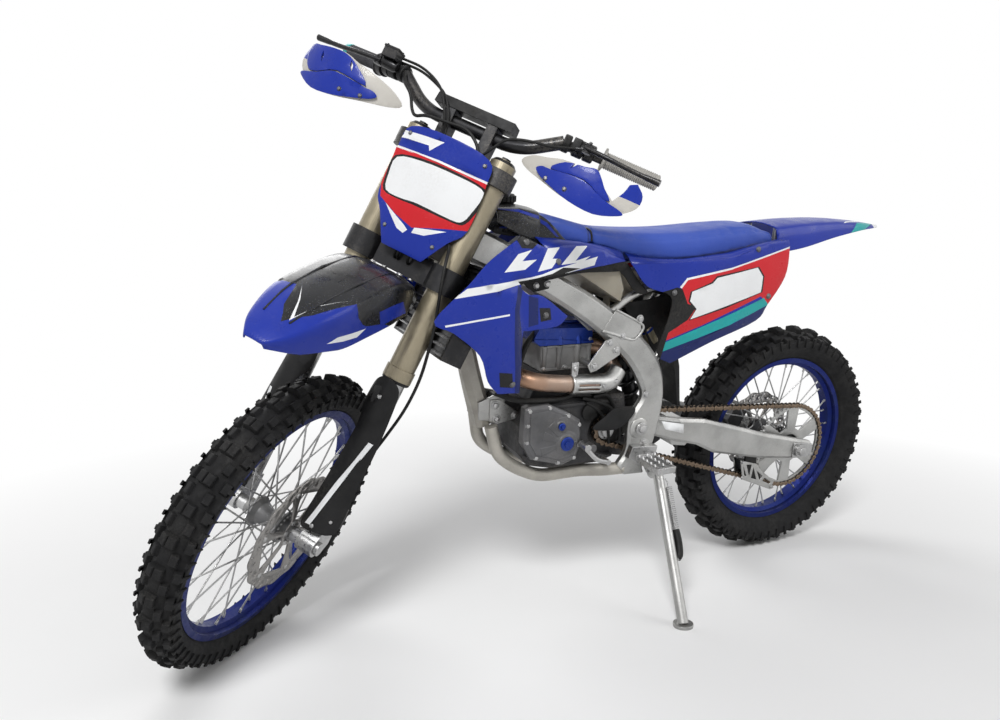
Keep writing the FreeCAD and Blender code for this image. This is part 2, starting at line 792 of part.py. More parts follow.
def hand_levers():
    """Clutch perch and lever on the left, brake cylinder, lever and throttle housing on the right."""
    start, along = grip_start()
    perch_at = start - along * 30
    ring = rod(perch_at - along * 11, perch_at + along * 11, size("bar_end_radius") + 8)
    hole = pipe(bar_points()[1:], size("bar_end_radius") + size("fit_gap"))
    knuckle = perch_at + V(44, 6, -4)
    arm = rod(perch_at + V(12, 0, 0), knuckle, 9)
    lever = pipe([knuckle, knuckle + V(10, 50, -4), knuckle + V(0, 110, -6),
                  knuckle + V(-2, 165, -6)], 6.5)
    stub_start, stub_end = clutch_cable_stub()
    left = ring.fuse([arm, lever, rod(stub_start, stub_end, 5)]).cut(hole)
    cylinder_at = V(knuckle.x - 2, knuckle.y - 8, knuckle.z + 2)
    cylinder = rod(cylinder_at, cylinder_at + V(0, -40, -2), 12)
    tank = Part.makeBox(32, 36, 24, cylinder_at + V(-8, -38, 9))
    housing = rod(start - along * 20, start - along * 2, size("bar_end_radius") + 12)
    right = ring.fuse([arm, lever, cylinder, tank, housing])
    for side in (0, 1):
        right = right.fuse(rod(*throttle_cable_stub(side), 5))
    right = mirrored(right.cut(hole))
    node("hand_levers", Part.Compound([left.removeSplitter(), right.removeSplitter()]), STEERING)


def handguards():
    """Open hand shields ahead of the grips, each a curved shell with a bracket to the bar."""
    start, along = grip_start()
    low = [(150, -83), (172, -99), (225, -115), (285, -129), (345, -131), (388, -109), (412, -83),
           (410, -57)]
    whole_top = [(396, -39), (372, -38), (330, -35), (295, -36), (262, -45), (208, -55), (172, -66)]
    broken_top = [(394, -41), (382, -49), (366, -93), (344, -79), (329, -63), (314, -52), (291, -57),
                  (241, -59), (208, -65), (172, -69)]

    def face_place(across, up):
        out = (across - 290) / 120
        return start.x + 118 - 34 * out * out - 0.0016 * (up - start.z + 72) ** 2

    corner, bend = bar_points()[1:3]
    rising = (bend - corner).normalize()
    bar_place = corner + rising * 50
    foot = V(face_place(186, start.z - 78) - 2, 186, start.z - 78)
    ring = rod(bar_place - rising * 9, bar_place + rising * 9, size("bar_radius") + 6)
    hole = rod(bar_place - rising * 40, bar_place + rising * 40, size("bar_radius") + size("fit_gap"))
    bracket = rod(bar_place + V(8, 4, 0), foot, 6).fuse(ring).cut(hole)
    guards = []
    for top in (broken_top, whole_top):
        outline = [(across, start.z + up) for across, up in low + top]
        guards.append(skin(outline, face_place, 4, facing="front").fuse(bracket))
    node("handguards", Part.Compound([guards[0], mirrored(guards[1])]), STEERING)


def number_plate():
    """The front plate, wrapped about the fork and held on a peg of the lower clamp."""
    bottom = size("lower_clamp_bottom") + 42
    top = size("upper_clamp_bottom") + 40
    outline = [(-50, bottom), (-86, bottom + 60), (-112, bottom + 100), (-110, top - 48),
               (-96, top), (96, top), (110, top - 48), (112, bottom + 100), (86, bottom + 60),
               (50, bottom)]
    clamp_front = size("fork_tube_forward") + LOWER_WEB_FRONT
    lean = 33

    def face_place(across, up):
        return clamp_front + 29 + lean * (up - bottom) / (top - bottom) - 0.0016 * across * across

    plate = skin(outline, face_place, size("panel_wall"), facing="front")
    peg_up = bottom + 7
    web_front = size("fork_tube_forward") + LOWER_WEB_FRONT - WEB_DIP
    peg = rod(V(web_front + size("fit_gap"), 0, peg_up), V(face_place(0, peg_up) - 1, 0, peg_up), 5)
    node("number_plate", plate.fuse(peg), STEERING)


def front_fender():
    """Front mudguard: a lofted crown from the lower clamp to the tip."""
    wall = size("panel_wall")
    top = size("lower_clamp_bottom") - size("fit_gap")
    stations = [(-10, top - 22, 58, 40), (40, top - 6, 64, 52), (84, top - 2, 84, 70),
                (165, top - 8, 92, 88),
                (260, 548, 90, 92), (350, 490, 82, 84), (412, 428, 56, 50), (440, 392, 22, 14)]
    wires = []
    for index, (forward, up, half_width, drop) in enumerate(stations):
        before = stations[max(index - 1, 0)]
        after = stations[min(index + 1, len(stations) - 1)]
        along = V(after[0] - before[0], 0, after[1] - before[1]).normalize()
        down = V(along.z, 0, -along.x)
        wires.append(shell_section(V(forward, 0, up), down, half_width, drop, wall))
    shell = Part.makeLoft(wires, True, False)
    bosses = []
    for side in (-1, 1):
        seat = V(30, side * 30, top)
        bosses.append(rod(seat, seat - UP * 16, 8))
    node("front_fender", shell.fuse(bosses), STEERING)


def fork_guards():
    """Plastic guards around the front of each slider, widest at the axle."""
    centre = V(size("fork_tube_forward"), size("fork_spacing"), 0)
    bottom = 30
    top = size("fork_tube_bottom")
    outer = Part.makeCone(58, 40, top - bottom, centre + UP * bottom, UP)
    inner = Part.makeCone(55, 37, top - bottom, centre + UP * bottom, UP)
    keep_box = side_plate([(centre.x - 12, 60), (centre.x + 6, 44), (centre.x + 22, bottom + 2),
                           (centre.x + 90, bottom), (centre.x + 90, top - 18), (centre.x + 36, top),
                           (centre.x + 20, top - 2), (centre.x + 4, top - 40), (centre.x - 4, 250)],
                          centre.y - 30, centre.y + 60)
    foot = rod(V(size("fork_offset") - 20, centre.y, 46), V(centre.x + 55, centre.y, 46), 5)
    upper = rod(V(centre.x, centre.y, top - 44), V(centre.x + 39, centre.y, top - 44), 5)
    guard = outer.cut(inner).common(keep_box).fuse([foot, upper]).cut(upright("fork_sliders"))
    node("fork_guards", pair(guard), STEERING)


CALIPER_BRIDGE = 12


def caliper_solid(disc_place, thickness, side):
    """A brake caliper astride a disc, its slot clear of the disc on both sides."""
    slot = thickness / 2 + 2.5
    body = side_plate([(-34, -24), (30, -26), (36, 0), (28, 26), (-30, 24), (-40, 2)],
                      -20, 20)
    slot_block = Part.makeBox(100, 2 * slot, 100, V(-50, -slot, CALIPER_BRIDGE - 100))
    body = body.cut(slot_block)
    body.translate(V(0, side * disc_place, 0))
    return body


def caliper_reach(disc_radius):
    """Distance of a caliper's middle from the axle, its bridge clear of the disc's edge."""
    return disc_radius + 3 - CALIPER_BRIDGE


FRONT_CALIPER_ANGLE = -69
REAR_CALIPER_ANGLE = 58


def front_caliper():
    body = caliper_solid(size("front_disc_place"), size("disc_thickness"), 1)
    body.rotate(ORIGIN, LEFT, FRONT_CALIPER_ANGLE)
    reach = caliper_reach(size("front_disc_radius"))
    tilt = math.radians(FRONT_CALIPER_ANGLE)
    middle = V(size("fork_offset") + reach * math.sin(tilt), 0, reach * math.cos(tilt))
    body.translate(middle)
    leg = size("fork_tube_forward") - size("slider_radius") - size("fit_gap")
    arm = side_plate([(middle.x - 8, middle.z + 22), (middle.x - 8, middle.z - 26), (leg, middle.z - 30),
                      (leg, middle.z + 26)],
                     size("front_disc_place") + 14, size("fork_spacing") + 4)
    node("front_caliper", body.fuse(arm), STEERING)


def control_cables():
    """Clutch cable from the left perch and two throttle cables from the right housing."""
    clamp_front = size("fork_tube_forward") + LOWER_WEB_FRONT - WEB_DIP + size("fit_gap")
    end = size("lower_clamp_bottom") + size("lower_clamp_height") / 2

    def cable(stub, between, across):
        away = (stub[1] - stub[0]).normalize()
        seat = clamp_front + WEB_DIP * across / size("fork_spacing")
        last = [V(50, across * 1.2, 820), V(46, across, 740), V(46, across, end + 32),
                V(42, across, end + 6), V(seat + 5, across, end), V(seat, across, end)]
        return pipe([stub[1] + away * size("fit_gap"), stub[1] + away * 12] + between + last, CABLE_RADIUS)

    clutch = [V(46, 190, 975), V(54, 165, 970), V(58, 130, 962), V(58, 96, 950), V(54, 68, 905),
              V(52, 40, 872)]
    cables = [cable(clutch_cable_stub(), clutch, 13)]
    for index in (0, 1):
        route = [V(8 + 4 * index, 236, 1024 + 8 * index), V(20 + 5 * index, 170, 1022 + 7 * index),
                 V(36 + 6 * index, 118, 1006 + 5 * index), V(56 + 4 * index, 70 + 10 * index, 985 + 3 * index),
                 V(56 + 5 * index, 40 + 8 * index, 940), V(54, 30 + 8 * index, 890)]
        cables.append(mirrored(cable(throttle_cable_stub(index), route, 13 + 8 * index)))
    node("control_cables", Part.Compound(cables), STEERING)


def front_brake_hose():
    """Hose from the brake cylinder, behind the plate's top, down to the left leg's caliper."""
    start = grip_start()[0]
    points = [V(start.x + 48, -194, start.z - 5), V(50, -178, 980), V(48, -150, 958), V(52, -132, 930),
              V(60, -114, 916), V(68, -88, 926), V(71, -34, 930), V(71, 14, 934), V(70, 50, 914),
              V(68, 72, 878), V(58, 72, 820), V(48, 66, 760), V(50, 62, 728), V(54, 92, 696),
              V(78, 108, 662), V(78, 124, 610), V(52, 142, 530), V(12, 150, 420), V(-6, 144, 340),
              V(-32, 118, 240), V(-60, 88, 150), V(-62, 72, 84)]
    node("front_brake_hose", pipe(points, 3.5), STEERING)


# Frame

HEAD_LOW = on_axis(0, 0, size("lower_clamp_bottom") + size("lower_clamp_height") + 8)
HEAD_HIGH = on_axis(0, 0, size("upper_clamp_bottom") - 8)


def frame_front():
    """Head tube, its gusset block and the down tube."""
    head = rod(HEAD_LOW, HEAD_HIGH, size("head_tube_radius"))
    low = size("lower_clamp_bottom") + size("lower_clamp_height") + 8
    high = size("upper_clamp_bottom") - 8
    corners = [on_axis(-10, 0, high - 14), on_axis(-72, 0, high - 70), on_axis(-118, 0, low + 44),
               on_axis(-118, 0, low), on_axis(-10, 0, low)]
    block = side_plate([(corner.x, corner.z) for corner in corners], -27, 27)
    foot = down_tube_foot()
    tube_solid = spar([(on_axis(-88, 0, low + 20), 56, 50), (on_axis(-96, 0, low - 44), 50, 50),
                       (V(1042, 0, 760), 48, 48), (V(996, 0, 624), 46, 46),
                       (V(974, 0, 548), 44, 60), (foot, 40, 60)])
    bore = rod(HEAD_LOW - AXIS_UP * 60, HEAD_HIGH + AXIS_UP * 60,
               size("stem_radius") + size("fit_gap"))
    node("frame_front", head.fuse([block, tube_solid]).cut(bore).removeSplitter(), BIKE)


def down_tube_foot():
    return V(962, 0, 492)


CROSS = V(652, 0, 752)
CROSS_RADIUS = 14
SHOCK_TOP = V(600, 0, 764)
SHOCK_HEAD_HALF = 20


def frame_beams():
    """The two side beams from the head to the footpegs, and the cross tube that holds the shock."""
    middle = size("frame_outer_half") - size("beam_thickness") / 2
    thick = size("beam_thickness")
    plate = size("pivot_plate_thickness")
    plate_middle = size("frame_outer_half") - plate / 2
    head_low = size("lower_clamp_bottom") + size("lower_clamp_height") + 8
    stations = [(on_axis(-50, 40, head_low + 78), 70, 24), (on_axis(-104, 42, head_low + 70), 74, 27),
                (V(946, middle - 24, 898), 70, 31), (V(840, middle - 4, 842), 58, thick),
                (V(765, middle, 800), 62, thick), (V(668, middle, 735), 66, thick),
                (V(586, middle, 664), 70, thick), (V(542, plate_middle - 2, 598), 70, plate + 4),
                (V(533, plate_middle, 545), 68, plate),
                (V(PIVOT.x - 16, plate_middle, PIVOT.z + 16), 92, plate),
                (V(PIVOT.x - 10, plate_middle, PIVOT.z - 36), 84, plate),
                (V(PIVOT.x + 4, plate_middle, PIVOT.z - 84), 76, plate),
                (V(PIVOT.x + 6, plate_middle, PIVOT.z - 124), 70, plate)]
    beam = spar(stations)
    shaft = rod(V(PIVOT.x, -200, PIVOT.z), V(PIVOT.x, 200, PIVOT.z),
                size("pivot_radius") + size("fit_gap"))
    cross = rod(V(CROSS.x, -middle, CROSS.z), V(CROSS.x, middle, CROSS.z), CROSS_RADIUS)
    lug = side_plate([(CROSS.x, CROSS.z + 14), (SHOCK_TOP.x - 6, SHOCK_TOP.z + 16),
                      (SHOCK_TOP.x - 18, SHOCK_TOP.z), (SHOCK_TOP.x - 6, SHOCK_TOP.z - 16),
                      (CROSS.x, CROSS.z - 14)], SHOCK_HEAD_HALF + size("fit_gap"), SHOCK_HEAD_HALF + 8)
    pin = rod(SHOCK_TOP - LEFT * (SHOCK_HEAD_HALF + 12), SHOCK_TOP + LEFT * (SHOCK_HEAD_HALF + 12), 6)
    both = beam.fuse([mirrored(beam), cross, lug, mirrored(lug), pin])
    node("frame_beams", both.cut([shaft, upright("frame_front")]).removeSplitter(), BIKE)


def cradle_rails():
    radius = size("rail_radius")
    spread = size("rail_spacing")
    low = size("rail_up")
    foot = down_tube_foot()
    end = size("frame_outer_half") - size("pivot_plate_thickness") / 2
    points = [V(foot.x - 6, 32 + radius, foot.z + 6), V(foot.x - 22, spread - 4, foot.z - 66),
              V(895, spread, low + 34), V(826, spread, low), V(706, spread, low),
              V(650, end - 12, low + 2), V(600, end, low + 6)]
    rail = pipe(points, radius).cut(upright("frame_beams"))
    node("cradle_rails", pair(rail), BIKE)


SUBFRAME_TUBE = 10


def subframe_rail():
    """The left upper tube's route from the beam to the rear mudguard."""
    top = size("frame_outer_half") - 30
    return [V(676, top + 10, 770), V(610, top + 2, 812), V(540, top, 830), V(400, top - 12, 864),
            V(250, top - 26, 900), V(112, top - 32, 916)]


def subframe():
    """The two side loops that carry the seat and the rear mudguard."""
    top = size("frame_outer_half") - 30
    rail = subframe_rail()
    upper = pipe(rail, SUBFRAME_TUBE)
    lower = pipe([V(532, top + 8, 634), V(446, top - 8, 740), V(340, top - 16, 876)], 9)
    brace = rod(V(540, -top, 829), V(540, top, 829), 8)
    brace_rear = rod(V(250, -56, 899), V(250, 56, 899), 8)
    side = upper.fuse(lower)
    seat_bracket = Part.makeBox(26, 112, 40, V(237, -56, 896))
    mid_bracket = Part.makeBox(24, 136, 50, V(470, -68, 846))
    post = rod(V(140, 50, 913), V(140, 50, 980), 7)
    whole = side.fuse([mirrored(side), brace, brace_rear, seat_bracket, mid_bracket, post,
                       mirrored(post)])
    held = whole.cut([upright("seat"), upright("rear_fender"), upright("frame_beams")])
    largest = max(held.Solids, key=lambda solid: solid.Volume)
    node("subframe", largest.removeSplitter(), BIKE)


BRIDGE_FRONT = 430


def swingarm():
    """Two tapered arms, the pivot tube and the bridge ahead of the tyre."""
    middle = (size("arm_inner") + size("arm_outer")) / 2
    thick = size("arm_outer") - size("arm_inner")
    front = size("frame_outer_half") - size("beam_thickness") - 17
    arm = spar([(V(PIVOT.x + 20, front, PIVOT.z - 10), 44, 28),
                (V(PIVOT.x - 60, front, PIVOT.z - 14), 52, 28),
                (V(PIVOT.x - 128, middle - 8, PIVOT.z - 24), 62, 28),
                (V(PIVOT.x - 200, middle, PIVOT.z - 36), 72, thick),
                (V(300, middle, 410), 84, thick), (V(140, middle, 368), 72, thick),
                (V(20, middle, 345), 60, thick), (V(-46, middle, 336), 46, thick)], True)
    tube_solid = rod(V(PIVOT.x, -front, PIVOT.z), V(PIVOT.x, front, PIVOT.z), 16)
    bridge = side_plate([(452, 470), (378, 456), (378, 420), (400, 396), (446, 404), (462, 440)],
                        -(size("arm_inner") + 4), size("arm_inner") + 4)
    shaft = rod(V(PIVOT.x, -200, PIVOT.z), V(PIVOT.x, 200, PIVOT.z),
                size("pivot_radius") + size("fit_gap"))
    axle = rod(V(0, -200, REAR_AXLE.z), V(0, 200, REAR_AXLE.z), size("axle_radius") + size("fit_gap"))
    shock_room = Part.makeBox(130, 2 * 44, 200, V(BRIDGE_FRONT, -44, 380))
    whole = arm.fuse([mirrored(arm), tube_solid, bridge])
    node("swingarm", whole.cut([shaft, axle, shock_room]).removeSplitter(), BIKE)


def pivot_and_rear_axle():
    outer = size("frame_outer_half")
    pivot = rod(V(PIVOT.x, -outer - 3, PIVOT.z), V(PIVOT.x, outer + 3, PIVOT.z),
                size("pivot_radius"))
    heads = []
    for side in (-1, 1):
        start = V(PIVOT.x, side * (outer + 2.3), PIVOT.z)
        heads.append(rod(start, start + LEFT * (side * 7), size("pivot_radius") + 6))
    node("pivot_bolt", pivot.fuse(heads).removeSplitter(), BIKE)
    arm = size("arm_outer")
    shaft = rod(V(0, -arm - 12, REAR_AXLE.z), V(0, arm + 12, REAR_AXLE.z), size("axle_radius"))
    parts = []
    for side in (-1, 1):
        nut = V(0, side * (arm + size("fit_gap")), REAR_AXLE.z)
        parts.append(rod(nut, nut + LEFT * (side * 9), size("axle_radius") + 7))
        inner = V(0, side * (size("rear_hub_half_width") + size("fit_gap")), REAR_AXLE.z)
        outer_end = V(0, side * (size("arm_inner") - size("fit_gap")), REAR_AXLE.z)
        parts.append(rod(inner, outer_end, size("axle_radius") + 6))
    node("rear_axle", shaft.fuse(parts).removeSplitter(), BIKE)


def shock_absorber():
    """Shock with its coil spring behind the engine, and the linkage under the swingarm."""
    top = SHOCK_TOP
    low = V(496, 0, 424)
    along = (low - top).normalize()
    length = (low - top).Length
    coil_length = length - 130
    body = rod(top, low, 19)
    seats = [rod(top + along * 48, top + along * 60, 30), rod(low - along * 70, low - along * 58, 30)]
    helix = Part.makeLongHelix(coil_length / 6.5, coil_length, 24.5)
    section = Part.Wire(Part.Circle(V(24.5, 0, 0), LEFT, 5.5).toShape())
    coil = Part.Wire(helix).makePipeShell([section], True, True)
    turn = FreeCAD.Placement(top + along * 60, FreeCAD.Rotation(UP, along))
    coil = coil.transformGeometry(turn.Matrix)
    head = rod(top - LEFT * SHOCK_HEAD_HALF, top + LEFT * SHOCK_HEAD_HALF, 18)
    seat_x = BRIDGE_FRONT + size("fit_gap")
    rocker = side_plate([(510, 440), (480, 440), (seat_x, 424), (seat_x, 392), (500, 352), (600, 372),
                         (600, 392)], -26, 26)
    bolt_room = rod(top - LEFT * 40, top + LEFT * 40, 6 + size("fit_gap"))
    whole = body.fuse(seats + [head, rocker]).fuse(coil).cut(bolt_room)
    node("shock_absorber", whole, BIKE)


# Engine

DRIVE_ROOM = 24


def crankcase():
    half = size("crankcase_half_width")
    outline = [(600, 558), (850, 558), (872, 540), (894, 500), (894, 430), (866, 396), (800, 380),
               (660, 378), (622, 388), (596, 430), (592, 520)]
    core = side_plate(outline, -half, half)
    core = core.makeChamfer(9, [edge for edge in core.Edges if abs(abs(edge.CenterOfMass.y) - half) < 1])
    deck = side_plate([(664, 550), (668, 612), (697, 626), (838, 626), (846, 596), (866, 550)],
                      -size("cylinder_half_width"), size("cylinder_half_width"))
    ear = side_plate([(880, 500), (870, 556), (928, 562), (946, 540), (928, 512)], -30, 30)
    drive_room = side_plate([(560, 394), (640, 396), (690, 412), (706, 462), (690, 522), (560, 522)],
                            half - DRIVE_ROOM, half + 5)
    core = core.fuse([deck, ear]).cut(drive_room)
    node("crankcase", core, BIKE)


def engine_covers():
    """Flywheel cover on the left and clutch cover on the right."""
    half = size("crankcase_half_width")
    left_outline = [(897, 553), (884, 558), (833, 559), (775, 531), (744, 511), (738, 478),
                    (738, 445), (749, 410), (785, 398), (875, 424), (898, 465), (898, 510)]
    left = side_plate(left_outline, half + size("fit_gap"), half + 27)
    outer = [edge for edge in left.Edges if abs(edge.CenterOfMass.y - half - 27) < 1]
    left = left.makeChamfer(7, outer)
    plug = rod(V(782, half + 27, 457), V(782, half + 33, 457), 17)
    small = rod(V(800, half + 27, 503), V(800, half + 31, 503), 9)
    right = rod(V(806, -half - size("fit_gap"), 476), V(806, -half - 26, 476), 84)
    rim_edge = [edge for edge in right.Edges if abs(edge.CenterOfMass.y + half + 26) < 1]
    right = right.makeChamfer(7, rim_edge)
    node("engine_covers", Part.Compound([left.fuse([plug, small]), right]), BIKE)


def cylinder():
    half = size("cylinder_half_width")
    body = side_plate([(697, 626.3), (836, 626.3), (840, 690), (698, 690)], -half, half)
    node("cylinder", body, BIKE)


def head_cover():
    half = size("cylinder_half_width") + 3
    body = side_plate([(698, 690.3), (840, 690.3), (860, 708), (842, 742), (700, 736)], -half, half)
    edges = [edge for edge in body.Edges if edge.CenterOfMass.z > 735 and abs(edge.CenterOfMass.y) > half - 1]
    node("head_cover", body.makeChamfer(8, edges), BIKE)


HEADER_LAST = V(504, -108, 764)
HEADER_END = V(456, -124, 769)


def exhaust_header():
    """Header from the head's rear, round the left and the front of the cylinder to the right."""
    radius = size("header_radius")
    side = 96
    right = size("cylinder_half_width") + radius + 2
    inner = 55
    points = [V(696.7, 12, 668), V(656, 12, 668), V(626, 34, 642), V(626, 70, 604),
              V(664, side, 594), V(760, side, 600), V(862, side - 2, 612), V(902, 62, 622),
              V(908, -6, 640), V(896, -94, 650), V(800, -right - 5, 647), V(700, -right - 5, 642),
              V(636, -inner + 4, 676), V(560, -inner + 2, 742), HEADER_LAST, HEADER_END]
    node("exhaust_header", pipe(points, radius), BIKE)


def muffler():
    along = (HEADER_END - HEADER_LAST).normalize()
    rings = [Part.Wire(Part.Circle(HEADER_END + along * size("fit_gap"), along, 23).toShape())]
    for x, y, z, radius in ((430, -132, 774, 44), (250, -138, 800, 50), (100, -142, 828, 46),
                            (70, -143, 834, 34)):
        rings.append(Part.Wire(Part.Circle(V(x, y, z), V(-1, -0.1, 0.15), radius).toShape()))
    node("muffler", Part.makeLoft(rings, True, False), BIKE)


def engine_brackets():
    inner = size("cylinder_half_width") + 3.3
    rear = side_plate([(700, 724), (716, 724), (760, 762), (744, 782), (700, 742)],
                      inner, inner + 8)
    front = side_plate([(915, 562), (945, 570), (985, 556), (982, 512), (955, 506), (915, 516)],
                       30.3, 35.3).cut(upright("frame_front"))
    node("engine_brackets", Part.Compound([rear, mirrored(rear), front, mirrored(front)]), BIKE)


RADIATOR_INNER = 62
RADIATOR_WIDTH = 92
LOUVRES = 11


def radiators():
    """The two cores ahead of the engine behind their louvres, each held by a stay on the down tube."""
    core = Part.makeBox(44, RADIATOR_WIDTH, 214, V(-152, RADIATOR_INNER, 476))
    frame_box = Part.makeBox(8, RADIATOR_WIDTH, 214, V(-108, RADIATOR_INNER, 476))
    opening = Part.makeBox(20, RADIATOR_WIDTH - 12, 202, V(-108, RADIATOR_INNER + 6, 482))
    parts = [frame_box.cut(opening)]
    for step in range(LOUVRES):
        low = 486 + step * 194 / (LOUVRES - 1)
        slat = [(-107.5, low), (-101, low - 6), (-100, low - 4.5), (-106.5, low + 2)]
        parts.append(side_plate(slat, RADIATOR_INNER + 5, RADIATOR_INNER + RADIATOR_WIDTH - 5))
    parts.append(Part.makeCylinder(18, 12, V(-127, 128, 690), UP))
    parts.append(rod(V(-142, 20, 560), V(-142, RADIATOR_INNER + 2, 560), 6))
    solid = core.fuse(parts)
    place = FreeCAD.Placement(STEER_BASE, FreeCAD.Rotation(LEFT, -size("rake_angle")))
    solid = solid.transformGeometry(place.Matrix)
    node("radiators", pair(solid.cut(upright("frame_front"))), BIKE)


# Bodywork

def shrouds():
    outline = [(1159, 794), (1083, 865), (1032, 914), (954, 962), (892, 935), (785, 938),
               (657, 898), (805, 883), (892, 873), (952, 858), (932, 836), (894, 830), (822, 780),
               (850, 759), (927, 755), (943, 743), (938, 611), (995, 616), (1024, 649),
               (1050, 711), (1114, 765)]

    def place(x, z):
        forward = (x - 650) / 500
        return 118 + 60 * math.sin(min(forward, 1.05) * math.pi / 2) - 0.0006 * (z - 790) ** 2

    panel = skin(outline, place, size("panel_wall"), grid=12)
    outer_face = RADIATOR_INNER + RADIATOR_WIDTH + size("fit_gap")
    bosses = []
    for x, z in ((1052, 800), (1010, 700)):
        bosses.append(rod(V(x, outer_face, z), V(x, place(x, z) - 1, z), 8))
    node("shrouds", pair(panel.fuse(bosses)), BIKE)


def tank_cover():
    wires = []
    for x, half, top, low in ((877, 92, 1013, 944), (930, 98, 1021, 958), (984, 92, 1016, 985)):
        wires.append(shell_section(V(x, 0, top), V(0, 0, -1), half, top - low, size("panel_wall")))
    node("tank_cover", Part.makeLoft(wires, True, False), BIKE)


def fuel_tank():
    wide = side_plate([(806, 922), (806, 888), (700, 826), (656, 800), (650, 830), (668, 880),
                       (740, 908)], -104, 104)
    narrow = side_plate([(668, 880), (640, 788), (600, 786), (572, 812), (575, 862), (640, 876)],
                        -66, 66)
    feet = []
    for side in (-1, 1):
        foot = V(CROSS.x, side * 40, CROSS.z + CROSS_RADIUS + size("fit_gap"))
        feet.append(rod(foot, V(CROSS.x, side * 40, 806), 9))
    node("fuel_tank", wide.fuse([narrow] + feet).removeSplitter(), BIKE)


def seat():
    """The pad: a crowned top with round shoulders, lofted from the tank cover to the tail."""
    wires = []
    for x, half, top, low in ((876.7, 70, 1013, 952), (800, 80, 994, 936), (700, 88, 972, 924),
                              (600, 92, 966, 894), (480, 96, 967, 888), (340, 94, 977, 902),
                              (230, 84, 982, 920), (160, 72, 972, 930)):
        high = top - low
        points = []
        for share, rise in ((-1, 0), (-0.995, 0.4), (-0.93, 0.74), (-0.76, 0.93), (-0.4, 0.99), (0, 1),
                            (0.4, 0.99), (0.76, 0.93), (0.93, 0.74), (0.995, 0.4), (1, 0)):
            points.append(V(x, share * half, low + rise * high))
        over = Part.BSplineCurve()
        over.interpolate(points)
        wires.append(Part.Wire([over.toShape(), Part.LineSegment(points[-1], points[0]).toShape()]))
    node("seat", Part.makeLoft(wires, True, False), BIKE)


def side_panels():
    outline = [(643, 890), (483, 896), (343, 905), (230, 934), (154, 944), (150, 914), (158, 848),
               (209, 777), (242, 736), (380, 689), (498, 638), (531, 652), (545, 682), (527, 762),
               (530, 813), (598, 838)]

    def place(x, z):
        return 122 + 12 * math.sin(math.pi * (x - 150) / 500) - 0.0005 * (z - 820) ** 2

    bosses = []
    rail = subframe_rail()
    for before, after in zip(rail[2:4], rail[3:5]):
        seat = (before + after) / 2
        start = V(seat.x, seat.y + SUBFRAME_TUBE + 2 * size("fit_gap"), seat.z)
        bosses.append(rod(start, V(seat.x, place(seat.x, seat.z) - 1, seat.z), 6))
    left = skin(outline, place, size("panel_wall")).fuse(bosses)
    short = [(643, 890), (483, 896), (343, 905), (230, 934), (154, 944), (150, 928), (330, 866),
             (470, 826), (540, 812), (598, 838)]
    right = mirrored(skin(short, place, size("panel_wall")).fuse(bosses))
    node("side_panels", Part.Compound([left, right]), BIKE)


def rear_fender():
    wires = []
    for x, top, half_width, drop in ((159.7, 976, 82, 72), (60, 984, 80, 66),
                                     (-60, 987, 70, 44), (-170, 982, 58, 22), (-250, 974, 34, 10),
                                     (-286, 970, 16, 5)):
        wires.append(shell_section(V(x, 0, top), V(0, 0, -1), half_width, drop, size("panel_wall")))
    node("rear_fender", Part.makeLoft(wires, True, False), BIKE)


def mud_flap():
    outline = [(452, 760), (472, 700), (438, 600), (416, 500), (408, 500), (424, 610), (452, 700),
               (436, 756)]
    half = size("frame_outer_half") - 30 - 8 - 9 - size("fit_gap")
    node("mud_flap", side_plate(outline, -half, half), BIKE)


# Drive

LINK_WAIST = 2.5


def chain():
    """The fixed loop of the drive chain: one waist to each pitch, and room for the sprocket."""
    rear = sprocket_radius("rear_teeth")
    front = sprocket_radius("front_teeth")
    half = size("chain_half_height")
    middle = size("chain_place")
    drive = V(size("drive_forward"), 0, size("drive_up"))
    gap = drive - REAR_AXLE
    tilt = math.atan2(gap.z, gap.x)
    spread = math.asin((rear - front) / gap.Length)
    low_angle = tilt + spread - math.pi / 2
    high_angle = tilt - spread + math.pi / 2

    def turning(centre, out, start, end, steps):
        angles = [start + (end - start) * index / steps for index in range(steps + 1)]
        return [centre + V(math.cos(angle), 0, math.sin(angle)) * out for angle in angles]

    arc_steps = 40
    line = turning(REAR_AXLE, rear, high_angle, 2 * math.pi + low_angle, arc_steps)
    line += turning(drive, front, low_angle, math.pi / 2, 12)
    line.append(V(PIVOT.x - 77, 0, PIVOT.z + 28))
    line.append(line[0])
    lengths = [(after - before).Length for before, after in zip(line, line[1:])]
    links = round(sum(lengths) / size("chain_pitch"))
    stride = sum(lengths) / links / 2
    outer = []
    inner = []
    passed = 0.0
    count = 0
    for index, length in enumerate(lengths):
        before = line[index]
        along = (line[index + 1] - before).normalize()
        out = along.cross(LEFT) * -1
        while count < 2 * links and count * stride < passed + length:
            point = before + along * (count * stride - passed)
            height = half if count % 2 == 0 else half - LINK_WAIST
            outer.append(point + out * height)
            if count % 2 == 0 or index >= arc_steps:
                inner.append(point - out * height)
            count += 1
        passed += length
    ring = side_plate([(point.x, point.z) for point in outer], middle - size("chain_half_width"),
                      middle + size("chain_half_width"))
    hole = side_plate([(point.x, point.z) for point in inner], middle - 30, middle + 30)
    room = [(point.x, point.z) for point in turning(REAR_AXLE, rear + 5.5, 0, 2 * math.pi, 32)[:-1]]
    wheel_room = side_plate(room, middle - 4.2, middle + 4.2)
    node("chain", ring.cut(hole).cut(wheel_room), BIKE)


